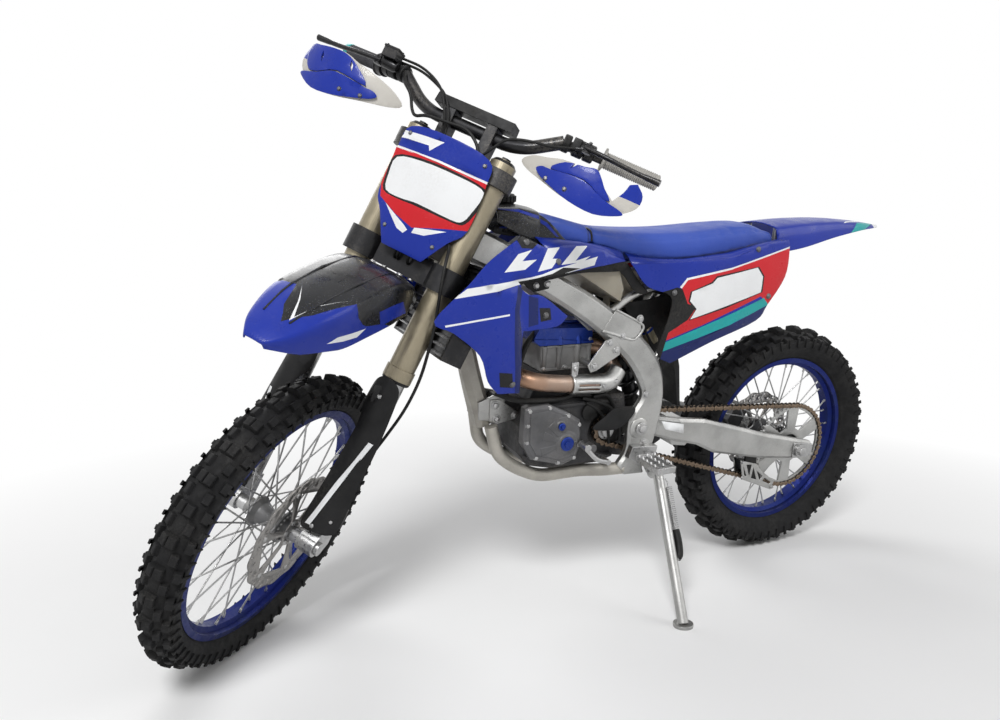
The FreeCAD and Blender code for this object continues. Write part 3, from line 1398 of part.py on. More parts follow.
def drive_sprocket():
    centre = V(size("drive_forward"), size("chain_place"), size("drive_up"))
    inner = size("crankcase_half_width") - DRIVE_ROOM + size("fit_gap")
    boss = rod(V(centre.x, inner, centre.z), centre + LEFT * 12, 16)
    clear = sprocket_radius("front_teeth") - size("chain_half_height") - 2
    around_shaft = rod(V(centre.x, 0, centre.z), V(centre.x, 200, centre.z), clear)
    plate = sprocket_solid("front_teeth", 9, centre).common(around_shaft)
    node("drive_sprocket", plate.fuse(boss), BIKE)


def chain_guide():
    middle = size("chain_place")
    plate = side_plate([(187, 320), (172, 276), (120, 252), (60, 216), (49, 240), (116, 304)],
                       middle - 14, middle + 14)
    room = side_plate([(200, 297), (200, 262), (30, 204), (30, 240)], middle - 9.5, middle + 9.5)
    lug = side_plate([(128, 296), (172, 308), (172, 366), (134, 358)], middle + 10,
                     size("arm_inner") - size("fit_gap"))
    sprocket_room = rod(REAR_AXLE, REAR_AXLE + LEFT * 200, sprocket_radius("rear_teeth") + TOOTH_TIP + 5)
    node("chain_guide", plate.cut([room, sprocket_room]).fuse(lug), BIKE)


# Controls, pegs and stand

PEG = V(552, 118, 400)
PEG_TEETH = 5


def footpegs():
    length = size("peg_length")
    bracket = side_plate([(520, 424), (596, 430), (606, 400), (580, 384), (526, 384)],
                         size("frame_outer_half") + size("fit_gap"), PEG.y + 12)
    peg = Part.makeBox(54, length, 16, V(PEG.x - 24, PEG.y + 12, PEG.z - 12))
    for row in range(2):
        peg = peg.cut(Part.makeBox(16, length - 16, 30, V(PEG.x - 18 + row * 24, PEG.y + 20, PEG.z - 20)))
    teeth = []
    for x in (PEG.x - 24, PEG.x, PEG.x + 24):
        for index in range(PEG_TEETH):
            near = PEG.y + 14 + index * (length - 8) / PEG_TEETH
            tooth = [V(x, near, PEG.z + 3), V(x, near + 4, PEG.z + 10), V(x, near + 8, PEG.z + 3)]
            teeth.append(Part.Face(outline_wire(tooth)).extrude(FORWARD * 5))
    side = bracket.fuse([peg] + teeth)
    half = size("stand_leg_radius") + 1
    near = half + 0.5
    pin = rod(STAND_PIVOT - STAND_AXIS * (near + 8), STAND_PIVOT + STAND_AXIS * (near + 4),
              STAND_PIN_RADIUS)
    lug = rod(STAND_PIVOT - STAND_AXIS * (near + 16), STAND_PIVOT - STAND_AXIS * near, 14)
    head = rod(STAND_PIVOT + STAND_AXIS * near, STAND_PIVOT + STAND_AXIS * (near + 5),
               STAND_PIN_RADIUS + 4)
    web = side_plate([(508, 392), (508, 346), (534, 346), (560, 392)],
                     size("frame_outer_half") + size("fit_gap"), 122)
    room = rod(STAND_PIVOT - STAND_AXIS * near, STAND_PIVOT + STAND_AXIS * near, 24)
    left = side.fuse([lug, web]).cut(room).fuse([pin, head])
    node("footpegs", Part.Compound([left.removeSplitter(), mirrored(side.removeSplitter())]), BIKE)


def shift_lever():
    half = size("crankcase_half_width")
    shaft = rod(V(664, half + size("fit_gap"), 396), V(664, half + 44, 396), 7)
    lever = pipe([V(664, half + 38, 396), V(700, half + 44, 408), V(742, half + 40, 452)], 6)
    tip = rod(V(742, half + 32, 452), V(742, half + 66, 452), 9)
    node("shift_lever", lever.fuse([tip, shaft]).removeSplitter(), BIKE)


def brake_pedal():
    outer = size("frame_outer_half")
    pedal = pipe([V(600, -outer - 8, 372), V(640, -outer - 12, 362), V(720, -outer - 18, 372),
                  V(776, -outer - 24, 392)], 7)
    tip = Part.makeBox(34, 30, 9, V(760, -outer - 42, 392))
    node("brake_pedal", pedal.fuse(tip).removeSplitter(), BIKE)


def rear_caliper():
    body = caliper_solid(size("rear_disc_place"), size("disc_thickness"), -1)
    body.rotate(ORIGIN, LEFT, REAR_CALIPER_ANGLE)
    reach = caliper_reach(size("rear_disc_radius"))
    tilt = math.radians(REAR_CALIPER_ANGLE)
    middle = REAR_AXLE + V(reach * math.sin(tilt), 0, reach * math.cos(tilt))
    body.translate(middle)
    seat = V(middle.x - 4, -size("arm_inner") + size("fit_gap"), middle.z - 16)
    bracket = rod(seat, seat + LEFT * 14, 6)
    node("rear_caliper", body.fuse(bracket), BIKE)


def stand_foot():
    """The middle of the stand's sole on the floor, and the floor's upward direction."""
    floor_foot = BIKE.multVec(V(568, 359, 47))
    floor_foot.z = 0
    back = BIKE.inverse()
    return back.multVec(floor_foot), back.Rotation.multVec(UP)


STAND_PIVOT = V(520, 140, 360)
STAND_FOLDED = V(-0.985, 0.13, -0.02)
STAND_AXIS = (stand_foot()[0] - STAND_PIVOT).cross(STAND_FOLDED).normalize()
STAND_PIN_RADIUS = 6


def side_stand():
    """The leg from its pivot to a flared foot that lies flat on the floor."""
    foot, up = stand_foot()
    sole = rod(foot, foot + up * 8, 24)
    leg = rod(STAND_PIVOT, foot + up * 6, size("stand_leg_radius"))
    half = size("stand_leg_radius") + 1
    boss = rod(STAND_PIVOT - STAND_AXIS * half, STAND_PIVOT + STAND_AXIS * half, 17)
    bore = rod(STAND_PIVOT - STAND_AXIS * 20, STAND_PIVOT + STAND_AXIS * 20, STAND_PIN_RADIUS + 0.1)
    below = Part.makeCylinder(80, 60, foot, up * -1)
    node("side_stand", leg.fuse([sole, boss]).cut([below, bore]).removeSplitter(), BIKE)


def build():
    front_wheel()
    rear_wheel()
    fork_tubes()
    fork_sliders()
    front_axle()
    lower_clamp()
    upper_clamp()
    handlebar()
    grips()
    bar_pad()
    hand_levers()
    handguards()
    number_plate()
    front_fender()
    fork_guards()
    front_caliper()
    front_brake_hose()
    control_cables()
    frame_front()
    frame_beams()
    cradle_rails()
    seat()
    rear_fender()
    subframe()
    swingarm()
    pivot_and_rear_axle()
    shock_absorber()
    crankcase()
    engine_covers()
    cylinder()
    head_cover()
    exhaust_header()
    muffler()
    engine_brackets()
    radiators()
    shrouds()
    tank_cover()
    fuel_tank()
    side_panels()
    mud_flap()
    chain()
    drive_sprocket()
    chain_guide()
    footpegs()
    shift_lever()
    brake_pedal()
    rear_caliper()
    side_stand()


def centre_on_floor():
    """Moves every sub-part so that the origin is under the middle of the bike's box."""
    box = FreeCAD.BoundBox()
    for piece in nodes:
        box.add(piece.Shape.optimalBoundingBox())
    shift = V(-(box.XMin + box.XMax) / 2, -(box.YMin + box.YMax) / 2, 0)
    for piece in nodes:
        piece.Placement = FreeCAD.Placement(shift, FreeCAD.Rotation()) * piece.Placement
    return shift


def check_and_write():
    document.recompute()
    for item in document.Objects:
        if "Invalid" in item.State or "Error" in item.State:
            raise ValueError(item.Label + " failed: " + str(item.State))
    os.makedirs("parts", exist_ok=True)
    failed = []
    for piece in nodes:
        if piece.Shape.isNull() or not piece.Shape.isValid() or not piece.Shape.Solids:
            failed.append(piece.Label)
    if failed:
        raise ValueError("no valid solid: " + ", ".join(failed))
    for piece in nodes:
        piece.Shape.exportStep(f"parts/{piece.Label}.step")
    print(len(nodes), "sub-parts written")


build()
SHIFT = centre_on_floor()
check_and_write()
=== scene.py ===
import json
import math
import random

import bmesh
import bpy
from mathutils import Matrix, Vector
from mathutils.geometry import delaunay_2d_cdt


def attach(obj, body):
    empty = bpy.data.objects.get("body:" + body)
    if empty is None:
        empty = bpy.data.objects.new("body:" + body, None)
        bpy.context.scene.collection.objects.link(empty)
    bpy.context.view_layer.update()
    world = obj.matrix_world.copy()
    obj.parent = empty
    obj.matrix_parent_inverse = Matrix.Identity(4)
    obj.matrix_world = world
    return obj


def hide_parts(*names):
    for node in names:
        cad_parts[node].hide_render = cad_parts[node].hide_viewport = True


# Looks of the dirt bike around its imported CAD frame. Sizes are millimetres in the bike's own
# frames unless a name says otherwise. The upright bike has X forward, Y left and Z up from the
# floor under its rear axle. The steering has X forward, Y left and Z up its axis.

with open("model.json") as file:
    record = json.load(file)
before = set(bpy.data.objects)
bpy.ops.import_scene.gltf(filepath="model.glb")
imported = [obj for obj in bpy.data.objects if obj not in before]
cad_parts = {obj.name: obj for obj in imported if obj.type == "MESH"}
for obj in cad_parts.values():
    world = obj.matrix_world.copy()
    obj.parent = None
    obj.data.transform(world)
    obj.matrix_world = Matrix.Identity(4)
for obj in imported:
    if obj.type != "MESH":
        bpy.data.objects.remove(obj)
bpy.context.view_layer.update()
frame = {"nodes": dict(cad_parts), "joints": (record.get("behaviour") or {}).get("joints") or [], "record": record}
random.seed(5)

MM = 0.001
TAU = 2 * math.pi
LEFT = Vector((0, 1, 0))
UP = Vector((0, 0, 1))
SIDES = (("left", 1), ("right", -1))
RAKE = math.radians(27)
REAR_AXLE_UP = 340
FORK_OFFSET = 52

joints = {joint["name"]: joint for joint in frame["joints"]}
slots = {row["node"]: row["material_slot"] for row in frame["record"]["subparts"]}


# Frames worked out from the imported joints

def frame_matrix(origin, forward, left, up):
    """A placement in metres from an origin and three directions."""
    matrix = Matrix((forward, left, up)).transposed().to_4x4()
    matrix.translation = origin
    return matrix


def joint_place(name):
    return Vector(joints[name]["pos_m"])


def joint_axis(name):
    return Vector(joints[name]["axis"]).normalized()


steer_up = joint_axis("steering_turn")
bike_left = joint_axis("rear_wheel_spin")
steer_left = joint_axis("front_wheel_spin")
raked_forward = bike_left.cross(steer_up)
bike_forward = raked_forward * math.cos(RAKE) - steer_up * math.sin(RAKE)
bike_up = raked_forward * math.sin(RAKE) + steer_up * math.cos(RAKE)
bike_origin = joint_place("rear_wheel_spin") - bike_up * (REAR_AXLE_UP * MM)
bike_axes = (bike_forward, bike_left, bike_up)
steer_axes = (steer_left.cross(steer_up), steer_left, steer_up)

BIKE = frame_matrix(bike_origin, *bike_axes)
BODY_PLACE = {
    "chassis": BIKE,
    "side_stand": BIKE,
    "rear_wheel": frame_matrix(joint_place("rear_wheel_spin"), *bike_axes),
    "steering": frame_matrix(joint_place("steering_turn"), *steer_axes),
    "front_wheel": frame_matrix(joint_place("front_wheel_spin"), *steer_axes),
}


# Node materials

def new_node(tree, kind, inputs=(), **settings):
    """A shader node with its settings, and its inputs set or linked."""
    made = tree.nodes.new("ShaderNode" + kind)
    for key, value in settings.items():
        setattr(made, key, value)
    for key, value in dict(inputs).items():
        if isinstance(value, bpy.types.NodeSocket):
            tree.links.new(value, made.inputs[key])
        else:
            made.inputs[key].default_value = value
    return made


class Paint:
    """A material put together from a few kinds of node."""

    def __init__(self, name, colour, roughness=0.5, metallic=0.0, coat=0.0):
        self.material = bpy.data.materials.new(name)
        self.material.use_nodes = True
        self.tree = self.material.node_tree
        self.shader = self.tree.nodes["Principled BSDF"]
        self.shader.inputs["Base Color"].default_value = (*colour, 1)
        self.shader.inputs["Roughness"].default_value = roughness
        self.shader.inputs["Metallic"].default_value = metallic
        self.shader.inputs["Coat Weight"].default_value = coat
        self.shader.inputs["Specular IOR Level"].default_value = 0.5 if metallic else 0.22
        self.place = self.tree.nodes.new("ShaderNodeTexCoord").outputs["Object"]
        self.colour = (*colour, 1)

    def node(self, kind, inputs=(), **settings):
        return new_node(self.tree, kind, inputs, **settings)

    def stretched(self, scale):
        return self.node("Mapping", {"Vector": self.place, "Scale": scale}).outputs[0]

    def noise(self, scale, detail=3.0, vector=None):
        return self.node("TexNoise", {"Vector": vector or self.place, "Scale": scale,
                                      "Detail": detail, "Roughness": 0.55}).outputs["Fac"]

    def cells(self, scale, feature="F1"):
        return self.node("TexVoronoi", {"Vector": self.place, "Scale": scale},
                         feature=feature).outputs["Distance"]

    def between(self, value, low, high, first=0.0, last=1.0):
        return self.node("MapRange", {"Value": value, "From Min": low, "From Max": high,
                                      "To Min": first, "To Max": last}).outputs[0]

    def maths(self, operation, first, second):
        return self.node("Math", {0: first, 1: second}, operation=operation).outputs[0]

    def times(self, first, second):
        return self.maths("MULTIPLY", first, second)

    def tint(self, share, colour):
        """Mixes a colour over what is there, by a share that varies over the surface."""
        mixed = self.node("Mix", {0: share, 6: self.colour, 7: (*colour, 1)}, data_type="RGBA")
        self.colour = mixed.outputs[2]

    def stain(self, scale, detail, low, high, share, colour):
        """Patches of a colour, as large as a noise of this scale."""
        self.tint(self.between(self.noise(scale, detail), low, high, 0.0, share), colour)

    def rough(self, value, first, last, high=0.7):
        shown = self.between(value, 0.3, high, first, last)
        self.tree.links.new(shown, self.shader.inputs["Roughness"])

    def bump(self, height, strength, depth):
        under = self.shader.inputs["Normal"]
        made = self.node("Bump", {"Height": height, "Strength": strength, "Distance": depth})
        if under.is_linked:
            self.tree.links.new(under.links[0].from_socket, made.inputs["Normal"])
        self.tree.links.new(made.outputs[0], under)

    def round_edges(self):
        """Lets light run over edges as if they were rounded."""
        made = self.node("Bevel", {"Radius": 0.003}, samples=4)
        self.tree.links.new(made.outputs[0], self.shader.inputs["Normal"])

    def facing_up(self):
        """How far the surface faces the sky at rest, from 0 to 1."""
        normal = self.node("NewGeometry").outputs["Normal"]
        up = self.node("SeparateXYZ", {0: normal}).outputs[2]
        return self.between(up, 0.0, 0.9)

    def dust(self, amount, colour=(0.42, 0.38, 0.32), scale=9.0):
        """Dry dust in patches, thicker where the surface faces up."""
        patches = self.between(self.noise(scale, 6.0), 0.45, 0.75)
        fine = self.between(self.noise(scale * 22, 2.0), 0.35, 0.7)
        share = self.times(self.times(patches, fine), self.between(self.facing_up(), 0, 1, 0.45, 1.0))
        self.tint(self.times(share, amount), colour)

    def done(self):
        if isinstance(self.colour, bpy.types.NodeSocket):
            self.tree.links.new(self.colour, self.shader.inputs["Base Color"])
        return self.material


def shade(colour, factor, lift=0.0):
    """A colour made lighter or darker."""
    return tuple(min(1.0, part * factor + lift) for part in colour)


def plastic(name, colour, roughness=0.3, dusty=0.1, scuffs=0.25):
    """Glossy moulded plastic with a decal's fine scratches and a little dust."""
    paint = Paint(name, colour, roughness, coat=0.12)
    paint.stain(4.0, 4.0, 0.35, 0.75, 0.5, shade(colour, 1.25, 0.006))
    marks = paint.between(paint.noise(60.0, 2.0, paint.stretched((1.0, 1.0, 7.0))), 0.68, 0.74)
    worn = paint.between(paint.noise(7.0), 0.5, 0.7, 0.0, scuffs)
    paint.tint(paint.times(marks, worn), (0.55, 0.56, 0.58))
    paint.dust(dusty)
    paint.rough(paint.noise(30.0, 4.0), roughness - 0.06, roughness + 0.16)
    paint.bump(paint.noise(700.0, 2.0), 0.06, 0.0004)
    return paint.done()


def moulded(name, colour):
    """Grained plastic."""
    paint = Paint(name, colour)
    paint.stain(12.0, 5.0, 0.4, 0.7, 0.8, shade(colour, 1.6, 0.004))
    paint.dust(0.14)
    paint.rough(paint.noise(45.0), 0.4, 0.65)
    paint.bump(paint.cells(900.0), 0.25, 0.0003)
    return paint.done()


def speckled(name):
    """Black decal full of small pale and blue flecks."""
    paint = Paint(name, (0.007, 0.0075, 0.009), 0.28, coat=0.2)
    for scale, low, high, colour in ((330.0, 0.13, 0.07, (0.5, 0.52, 0.56)),
                                     (210.0, 0.10, 0.05, (0.75, 0.77, 0.8)),
                                     (420.0, 0.12, 0.08, (0.05, 0.12, 0.45))):
        flecks = paint.between(paint.cells(scale), high, low, 1.0, 0.0)
        patchy = paint.between(paint.noise(14.0), 0.38, 0.62, 0.15, 1.0)
        paint.tint(paint.times(flecks, patchy), colour)
    paint.dust(0.2)
    paint.rough(paint.noise(40.0), 0.22, 0.4)
    return paint.done()


def bare_metal(name, colour, roughness, scratch=(1.0, 1.0, 1.0), dirty=0.65, metallic=0.95):
    """Worn bare metal with stains, fine scratches and dust."""
    paint = Paint(name, colour, roughness, metallic)
    paint.round_edges()
    paint.stain(11.0, 7.0, 0.42, 0.68, dirty, shade(colour, 0.55))
    fine = paint.noise(170.0, 4.0, paint.stretched(scratch))
    paint.tint(paint.between(fine, 0.55, 0.8, 0.0, 0.35), shade(colour, 1.4))
    paint.dust(0.35)
    paint.rough(fine, roughness - 0.1, roughness + 0.22, 0.72)
    paint.bump(fine, 0.12, 0.0004)
    return paint.done()


def cast_metal(name, colour, roughness=0.55):
    """Sand-cast, painted or raw metal with a pebbled surface and grime."""
    paint = Paint(name, colour, roughness, 0.6)
    paint.round_edges()
    paint.stain(18.0, 8.0, 0.4, 0.7, 0.6, shade(colour, 0.45))
    paint.dust(0.55, (0.4, 0.36, 0.3), 14.0)
    paint.rough(paint.noise(60.0), roughness - 0.12, roughness + 0.12)
    paint.bump(paint.noise(600.0), 0.35, 0.0005)
    return paint.done()


def rubber(name, colour, dusty, roughness=0.75):
    """Dull rubber with a fine grain and grey dust."""
    paint = Paint(name, colour, roughness)
    paint.stain(25.0, 6.0, 0.4, 0.7, 0.6, shade(colour, 1.6, 0.004))
    paint.dust(dusty, (0.2, 0.19, 0.17), 16.0)
    paint.rough(paint.noise(80.0), roughness - 0.12, roughness + 0.1)
    paint.bump(paint.noise(500.0), 0.3, 0.0005)
    return paint.done()


def anodised(name, colour, roughness):
    """Anodised metal with faint streaks."""
    paint = Paint(name, colour, roughness, 0.75, 0.2)
    streaks = paint.noise(30.0, 5.0, paint.stretched((1.0, 1.0, 0.25)))
    paint.tint(paint.between(streaks, 0.4, 0.7, 0.0, 0.55), shade(colour, 0.62))
    paint.dust(0.4)
    paint.rough(paint.noise(50.0), roughness - 0.08, roughness + 0.18)
    return paint.done()


def vinyl(name, colour):
    """Seat cover with a fine leather grain and a soft sheen."""
    paint = Paint(name, colour, 0.5)
    paint.shader.inputs["Sheen Weight"].default_value = 0.15
    paint.stain(5.0, 5.0, 0.38, 0.7, 0.4, shade(colour, 1.3, 0.01))
    paint.dust(0.22, scale=6.0)
    paint.rough(paint.noise(26.0), 0.42, 0.62)
    paint.bump(paint.cells(420.0, "SMOOTH_F1"), 0.35, 0.0006)
    paint.bump(paint.noise(90.0), 0.12, 0.0008)
    return paint.done()


def tank_plastic(name):
    """Milky unpainted tank whose wall lets some light in."""
    paint = Paint(name, (0.36, 0.33, 0.27), 0.42)
    paint.shader.inputs["Subsurface Weight"].default_value = 0.35
    paint.shader.inputs["Subsurface Radius"].default_value = (0.03, 0.024, 0.016)
    paint.shader.inputs["Subsurface Scale"].default_value = 0.4
    paint.stain(9.0, 5.0, 0.4, 0.7, 0.6, (0.24, 0.21, 0.17))
    paint.dust(0.3)
    paint.rough(paint.noise(40.0), 0.36, 0.55)
    paint.bump(paint.noise(500.0), 0.1, 0.0004)
    return paint.done()


def header_metal(name):
    """Header tube tinted by heat in bands of straw, copper and grey."""
    paint = Paint(name, (0.36, 0.28, 0.23), 0.34, 0.85)
    paint.stain(7.0, 3.0, 0.36, 0.62, 1.0, (0.36, 0.2, 0.12))
    paint.stain(10.0, 4.0, 0.52, 0.7, 0.75, (0.2, 0.17, 0.19))
    paint.stain(16.0, 6.0, 0.6, 0.72, 0.6, (0.55, 0.46, 0.36))
    paint.dust(0.35)
    paint.rough(paint.noise(70.0, 4.0), 0.26, 0.52)
    paint.bump(paint.noise(300.0), 0.12, 0.0004)
    return paint.done()


def perished_blue(name, colour):
    """Blue anodised rim with a dull, dusty well."""
    paint = Paint(name, colour, 0.35, 0.85)
    paint.stain(14.0, 6.0, 0.42, 0.7, 0.55, (0.015, 0.03, 0.1))
    paint.dust(0.22, (0.2, 0.2, 0.22), 12.0)
    paint.rough(paint.noise(70.0), 0.25, 0.5)
    return paint.done()


M = {
    "blue": plastic("blue_plastic", (0.006, 0.024, 0.28)),
    # Deep blue plastic, also used as painted shade along each shroud's crease.
    "deep_blue": plastic("deep_blue_plastic", (0.004, 0.012, 0.1)),
    "white": plastic("white_plastic", (0.78, 0.79, 0.8), 0.35, 0.35, 0.1),
    "grey_white": plastic("dirty_white_plastic", (0.5, 0.48, 0.44), 0.45, 0.7, 0.2),
    "red": plastic("red_plastic", (0.55, 0.012, 0.02)),
    "teal": plastic("teal_plastic", (0.01, 0.33, 0.33)),
    "black": moulded("black_plastic", (0.007, 0.007, 0.0075)),
    "black_gloss": plastic("black_gloss", (0.007, 0.007, 0.008), 0.25),
    "speckled": speckled("speckled_black"),
    "tyre": rubber("tyre_rubber", (0.007, 0.007, 0.0075), 0.22),
    "hose": rubber("hose_rubber", (0.007, 0.007, 0.007), 0.15, 0.5),
    "grip_grey": rubber("grey_grip", (0.3, 0.29, 0.27), 0.6, 0.8),
    "grip_dark": rubber("dark_grip", (0.05, 0.05, 0.055), 0.5, 0.8),
    "rim": perished_blue("rim_blue", (0.006, 0.014, 0.13)),
    "steel": bare_metal("bright_steel", (0.46, 0.46, 0.46), 0.3),
    "disc": bare_metal("disc_steel", (0.3, 0.29, 0.28), 0.32, (1, 9, 1)),
    "aluminium": bare_metal("bare_aluminium", (0.44, 0.44, 0.43), 0.33, (1.0, 3.0, 5.0)),
    "dusty_aluminium": bare_metal("dusty_aluminium", (0.42, 0.4, 0.36), 0.5, dirty=0.6, metallic=0.6),
    "cast": cast_metal("cast_grey", (0.24, 0.24, 0.24)),
    "cover_grey": cast_metal("cover_grey", (0.13, 0.13, 0.135), 0.45),
    "dark_bolt": bare_metal("dark_bolt", (0.16, 0.16, 0.165), 0.4),
    "dark_cast": cast_metal("dark_cast", (0.045, 0.045, 0.048)),
    "gold": anodised("fork_gold", (0.31, 0.27, 0.19), 0.36),
    "blue_anodised": anodised("blue_anodised", (0.008, 0.035, 0.26), 0.42),
    "black_metal": anodised("black_metal", (0.018, 0.018, 0.02), 0.4),
    "chain": bare_metal("chain_bronze", (0.19, 0.14, 0.1), 0.42, dirty=0.6),
    # Darker chain steel, painted on the inner plates and rollers as shade.
    "chain_oily": bare_metal("chain_oily", (0.02, 0.016, 0.013), 0.5, dirty=0.3),
    "header": header_metal("header_heat"),
    "seat": vinyl("seat_vinyl", (0.032, 0.075, 0.38)),
    "tank": tank_plastic("tank_milky"),
}

NODE_LOOK = {
    "tyre_rubber": "tyre", "blue_rim": "rim", "bright_steel": "steel", "cast_grey": "cast",
    "bare_aluminium": "aluminium", "gold_anodised": "gold", "black_metal": "black_metal",
    "black_plastic": "black", "blue_plastic": "blue", "tank_plastic": "tank", "seat_cover": "seat",
    "grip_rubber": "grip_grey", "header_steel": "header", "chain_steel": "chain",
    "hose_rubber": "hose",
}
LOOK_SLOT = {look: slot for slot, look in NODE_LOOK.items()}
LOOK_SLOT.update({
    "deep_blue": "blue_plastic", "white": "blue_plastic", "grey_white": "blue_plastic",
    "red": "blue_plastic", "teal": "blue_plastic", "speckled": "blue_plastic",
    "black_gloss": "black_plastic", "grip_dark": "grip_rubber", "disc": "bright_steel",
    "dusty_aluminium": "bare_aluminium", "dark_cast": "cast_grey", "cover_grey": "cast_grey",
    "dark_bolt": "bright_steel", "blue_anodised": "blue_rim",
})
NODE_OWN = {
    "lower_clamp": "black_metal", "upper_clamp": "dark_cast", "frame_front": "dusty_aluminium",
    "cradle_rails": "dusty_aluminium", "radiators": "black_metal", "head_cover": "blue_anodised",
    "rear_hub": "dark_cast", "front_caliper": "dark_cast", "rear_caliper": "dark_cast",
    "fork_sliders": "steel", "crankcase": "dark_cast", "engine_covers": "cover_grey",
}


def dress_nodes():
    """Every CAD node that stays gets the finish of its slot or one of its own."""
    for name, piece in frame["nodes"].items():
        piece.data.materials.clear()
        piece.data.materials.append(M[NODE_OWN.get(name, NODE_LOOK[slots[name]])])
        for face in piece.data.polygons:
            face.use_smooth = False


# Points, routes and outlines

def polar(radius, angle):
    return radius * math.cos(angle), radius * math.sin(angle)


def wheel_point(radius, angle, across=0):
    """A point round the Y axis."""
    return Vector((radius * math.cos(angle), across, radius * math.sin(angle)))


def across_frame(direction):
    """Two directions square to a given one."""
    helper = Vector((0, 0, 1)) if abs(direction.z) < 0.9 else Vector((1, 0, 0))
    side = direction.cross(helper).normalized()
    return side, side.cross(direction).normalized()


def circle_points(centre, side, up, radius, count):
    points = []
    for step in range(count):
        angle = TAU * step / count
        points.append(centre + side * (radius * math.cos(angle)) + up * (radius * math.sin(angle)))
    return points


def ways(route):
    """The direction of a route at each of its points."""
    last = len(route) - 1
    return [(route[min(index + 1, last)] - route[max(index - 1, 0)]).normalized()
            for index in range(last + 1)]


def hermite(start, end, out, into, t):
    """A point on the curve that leaves one point and reaches the next in given directions."""
    return (start * (2 * t**3 - 3 * t**2 + 1) + out * (t**3 - 2 * t**2 + t)
            + end * (3 * t**2 - 2 * t**3) + into * (t**3 - t**2))


def smooth_route(points, steps=5):
    """A smooth line through points of any number of values."""
    points = [Vector(point) for point in points]
    last = len(points) - 1
    line = []
    for index in range(last):
        before, here, after, beyond = (points[min(max(index + shift, 0), last)]
                                       for shift in (-1, 0, 1, 2))
        for step in range(steps):
            line.append(hermite(here, after, (after - before) / 2, (beyond - here) / 2, step / steps))
    line.append(points[-1])
    return line


def smooth_loop(points, steps):
    """A smooth closed line through points. A point with a third value is a sharp corner."""
    count = len(points)
    line = []
    for index, here in enumerate(points):
        after = points[(index + 1) % count]
        beyond = points[(index + 2) % count]
        start = Vector(here[:2])
        end = Vector(after[:2])
        out = (end - start) if len(here) > 2 else (end - Vector(points[index - 1][:2])) / 2
        into = (end - start) if len(after) > 2 else (Vector(beyond[:2]) - start) / 2
        line.extend([hermite(start, end, out, into, step / steps) for step in range(steps)])
    return line


def rounded_route(points):
    """Points along straight runs joined by arcs, the same route as the CAD pipes take."""
    points = [Vector(point) for point in points]
    route = [points[0]]
    for before, corner, after in zip(points, points[1:], points[2:]):
        reach = 0.45 * min((corner - before).length, (after - corner).length)
        start = corner - (corner - before).normalized() * reach
        end = corner + (after - corner).normalized() * reach
        for step in range(9):
            t = step / 8
            route.append(start.lerp(corner, t).lerp(corner.lerp(end, t), t))
    route.append(points[-1])
    return route


def crisp(points):
    """A closed outline with every corner sharp."""
    return smooth_loop([(point[0], point[1], 1) for point in points], 2)


def crisp_zones(zones):
    return [(crisp(points), look) for points, look in zones]


def grown(points, amount):
    """Points moved away from their middle by an amount."""
    flat = [Vector(point[:2]) for point in points]
    middle = sum(flat, Vector((0, 0))) / len(flat)
    return [tuple(point + (point - middle).normalized() * amount) for point in flat]


def flipped(points):
    """Points of an outline with the first value turned round."""
    return [(-point[0], *point[1:]) for point in points]


def mirror_zone(points):
    """A zone of a mudguard on its other side."""
    return [(u, -v) for u, v in points]


def between_rows(rows, place):
    """A row in between, by the place of its first value."""
    for before, after in zip(rows, rows[1:]):
        if place <= after[0]:
            break
    share = (place - before[0]) / (after[0] - before[0])
    return [first + (second - first) * share for first, second in zip(before, after)]


def inside(point, loop):
    """Whether a flat point lies in a closed loop."""
    hit = False
    for first, second in zip(loop, loop[1:] + loop[:1]):
        if (first[1] > point[1]) != (second[1] > point[1]):
            cross = first[0] + (point[1] - first[1]) * (second[0] - first[0]) / (second[1] - first[1])
            hit = hit != (point[0] < cross)
    return hit


def flat_mesh(outline, spacing, zones, holes=()):
    """Triangles that fill an outline, cut along the borders of its zones and holes."""
    points = []
    edges = []
    for loop in [outline] + list(holes) + [zone for zone, _ in zones]:
        start = len(points)
        points.extend([Vector((point[0], point[1])) for point in loop])
        edges.extend([(start + step, start + (step + 1) % len(loop)) for step in range(len(loop))])
    low_u, low_v = (min(point[axis] for point in outline) for axis in (0, 1))
    high_u, high_v = (max(point[axis] for point in outline) for axis in (0, 1))
    for row in range(int((high_v - low_v) / spacing) + 1):
        shift = row % 2 / 2
        for column in range(int((high_u - low_u) / spacing) + 1):
            spot = Vector((low_u + (column + shift) * spacing, low_v + row * spacing))
            if inside(spot, outline):
                points.append(spot)
    vertices, _, faces, _, _, _ = delaunay_2d_cdt(points, edges, [], 0, 0.01)
    kept = []
    looks = []
    for face in faces:
        middle = sum((vertices[index] for index in face), Vector((0, 0))) / len(face)
        if not inside(middle, outline) or any(inside(middle, hole) for hole in holes):
            continue
        look = 0
        for number, (zone, _) in enumerate(zones, 1):
            if inside(middle, zone):
                look = number
        kept.append(tuple(face))
        looks.append(look)
    return vertices, kept, looks


# Solid forms

def joined(parts):
    """One list of vertices and one of faces from several such pairs."""
    vertices = []
    faces = []
    for part_vertices, part_faces in parts:
        start = len(vertices)
        vertices.extend(part_vertices)
        faces.extend([tuple(start + index for index in face) for face in part_faces])
    return vertices, faces


def lofted(rings, looped=False):
    """Faces between rings of equally many points, with caps unless the rings close in a loop."""
    count = len(rings[0])
    vertices = [point for ring in rings for point in ring]
    faces = []
    for row in range(len(rings) if looped else len(rings) - 1):
        after = (row + 1) % len(rings)
        for column in range(count):
            following = (column + 1) % count
            faces.append((row * count + column, row * count + following,
                          after * count + following, after * count + column))
    if not looped:
        faces.append(tuple(reversed(range(count))))
        faces.append(tuple((len(rings) - 1) * count + column for column in range(count)))
    return vertices, faces


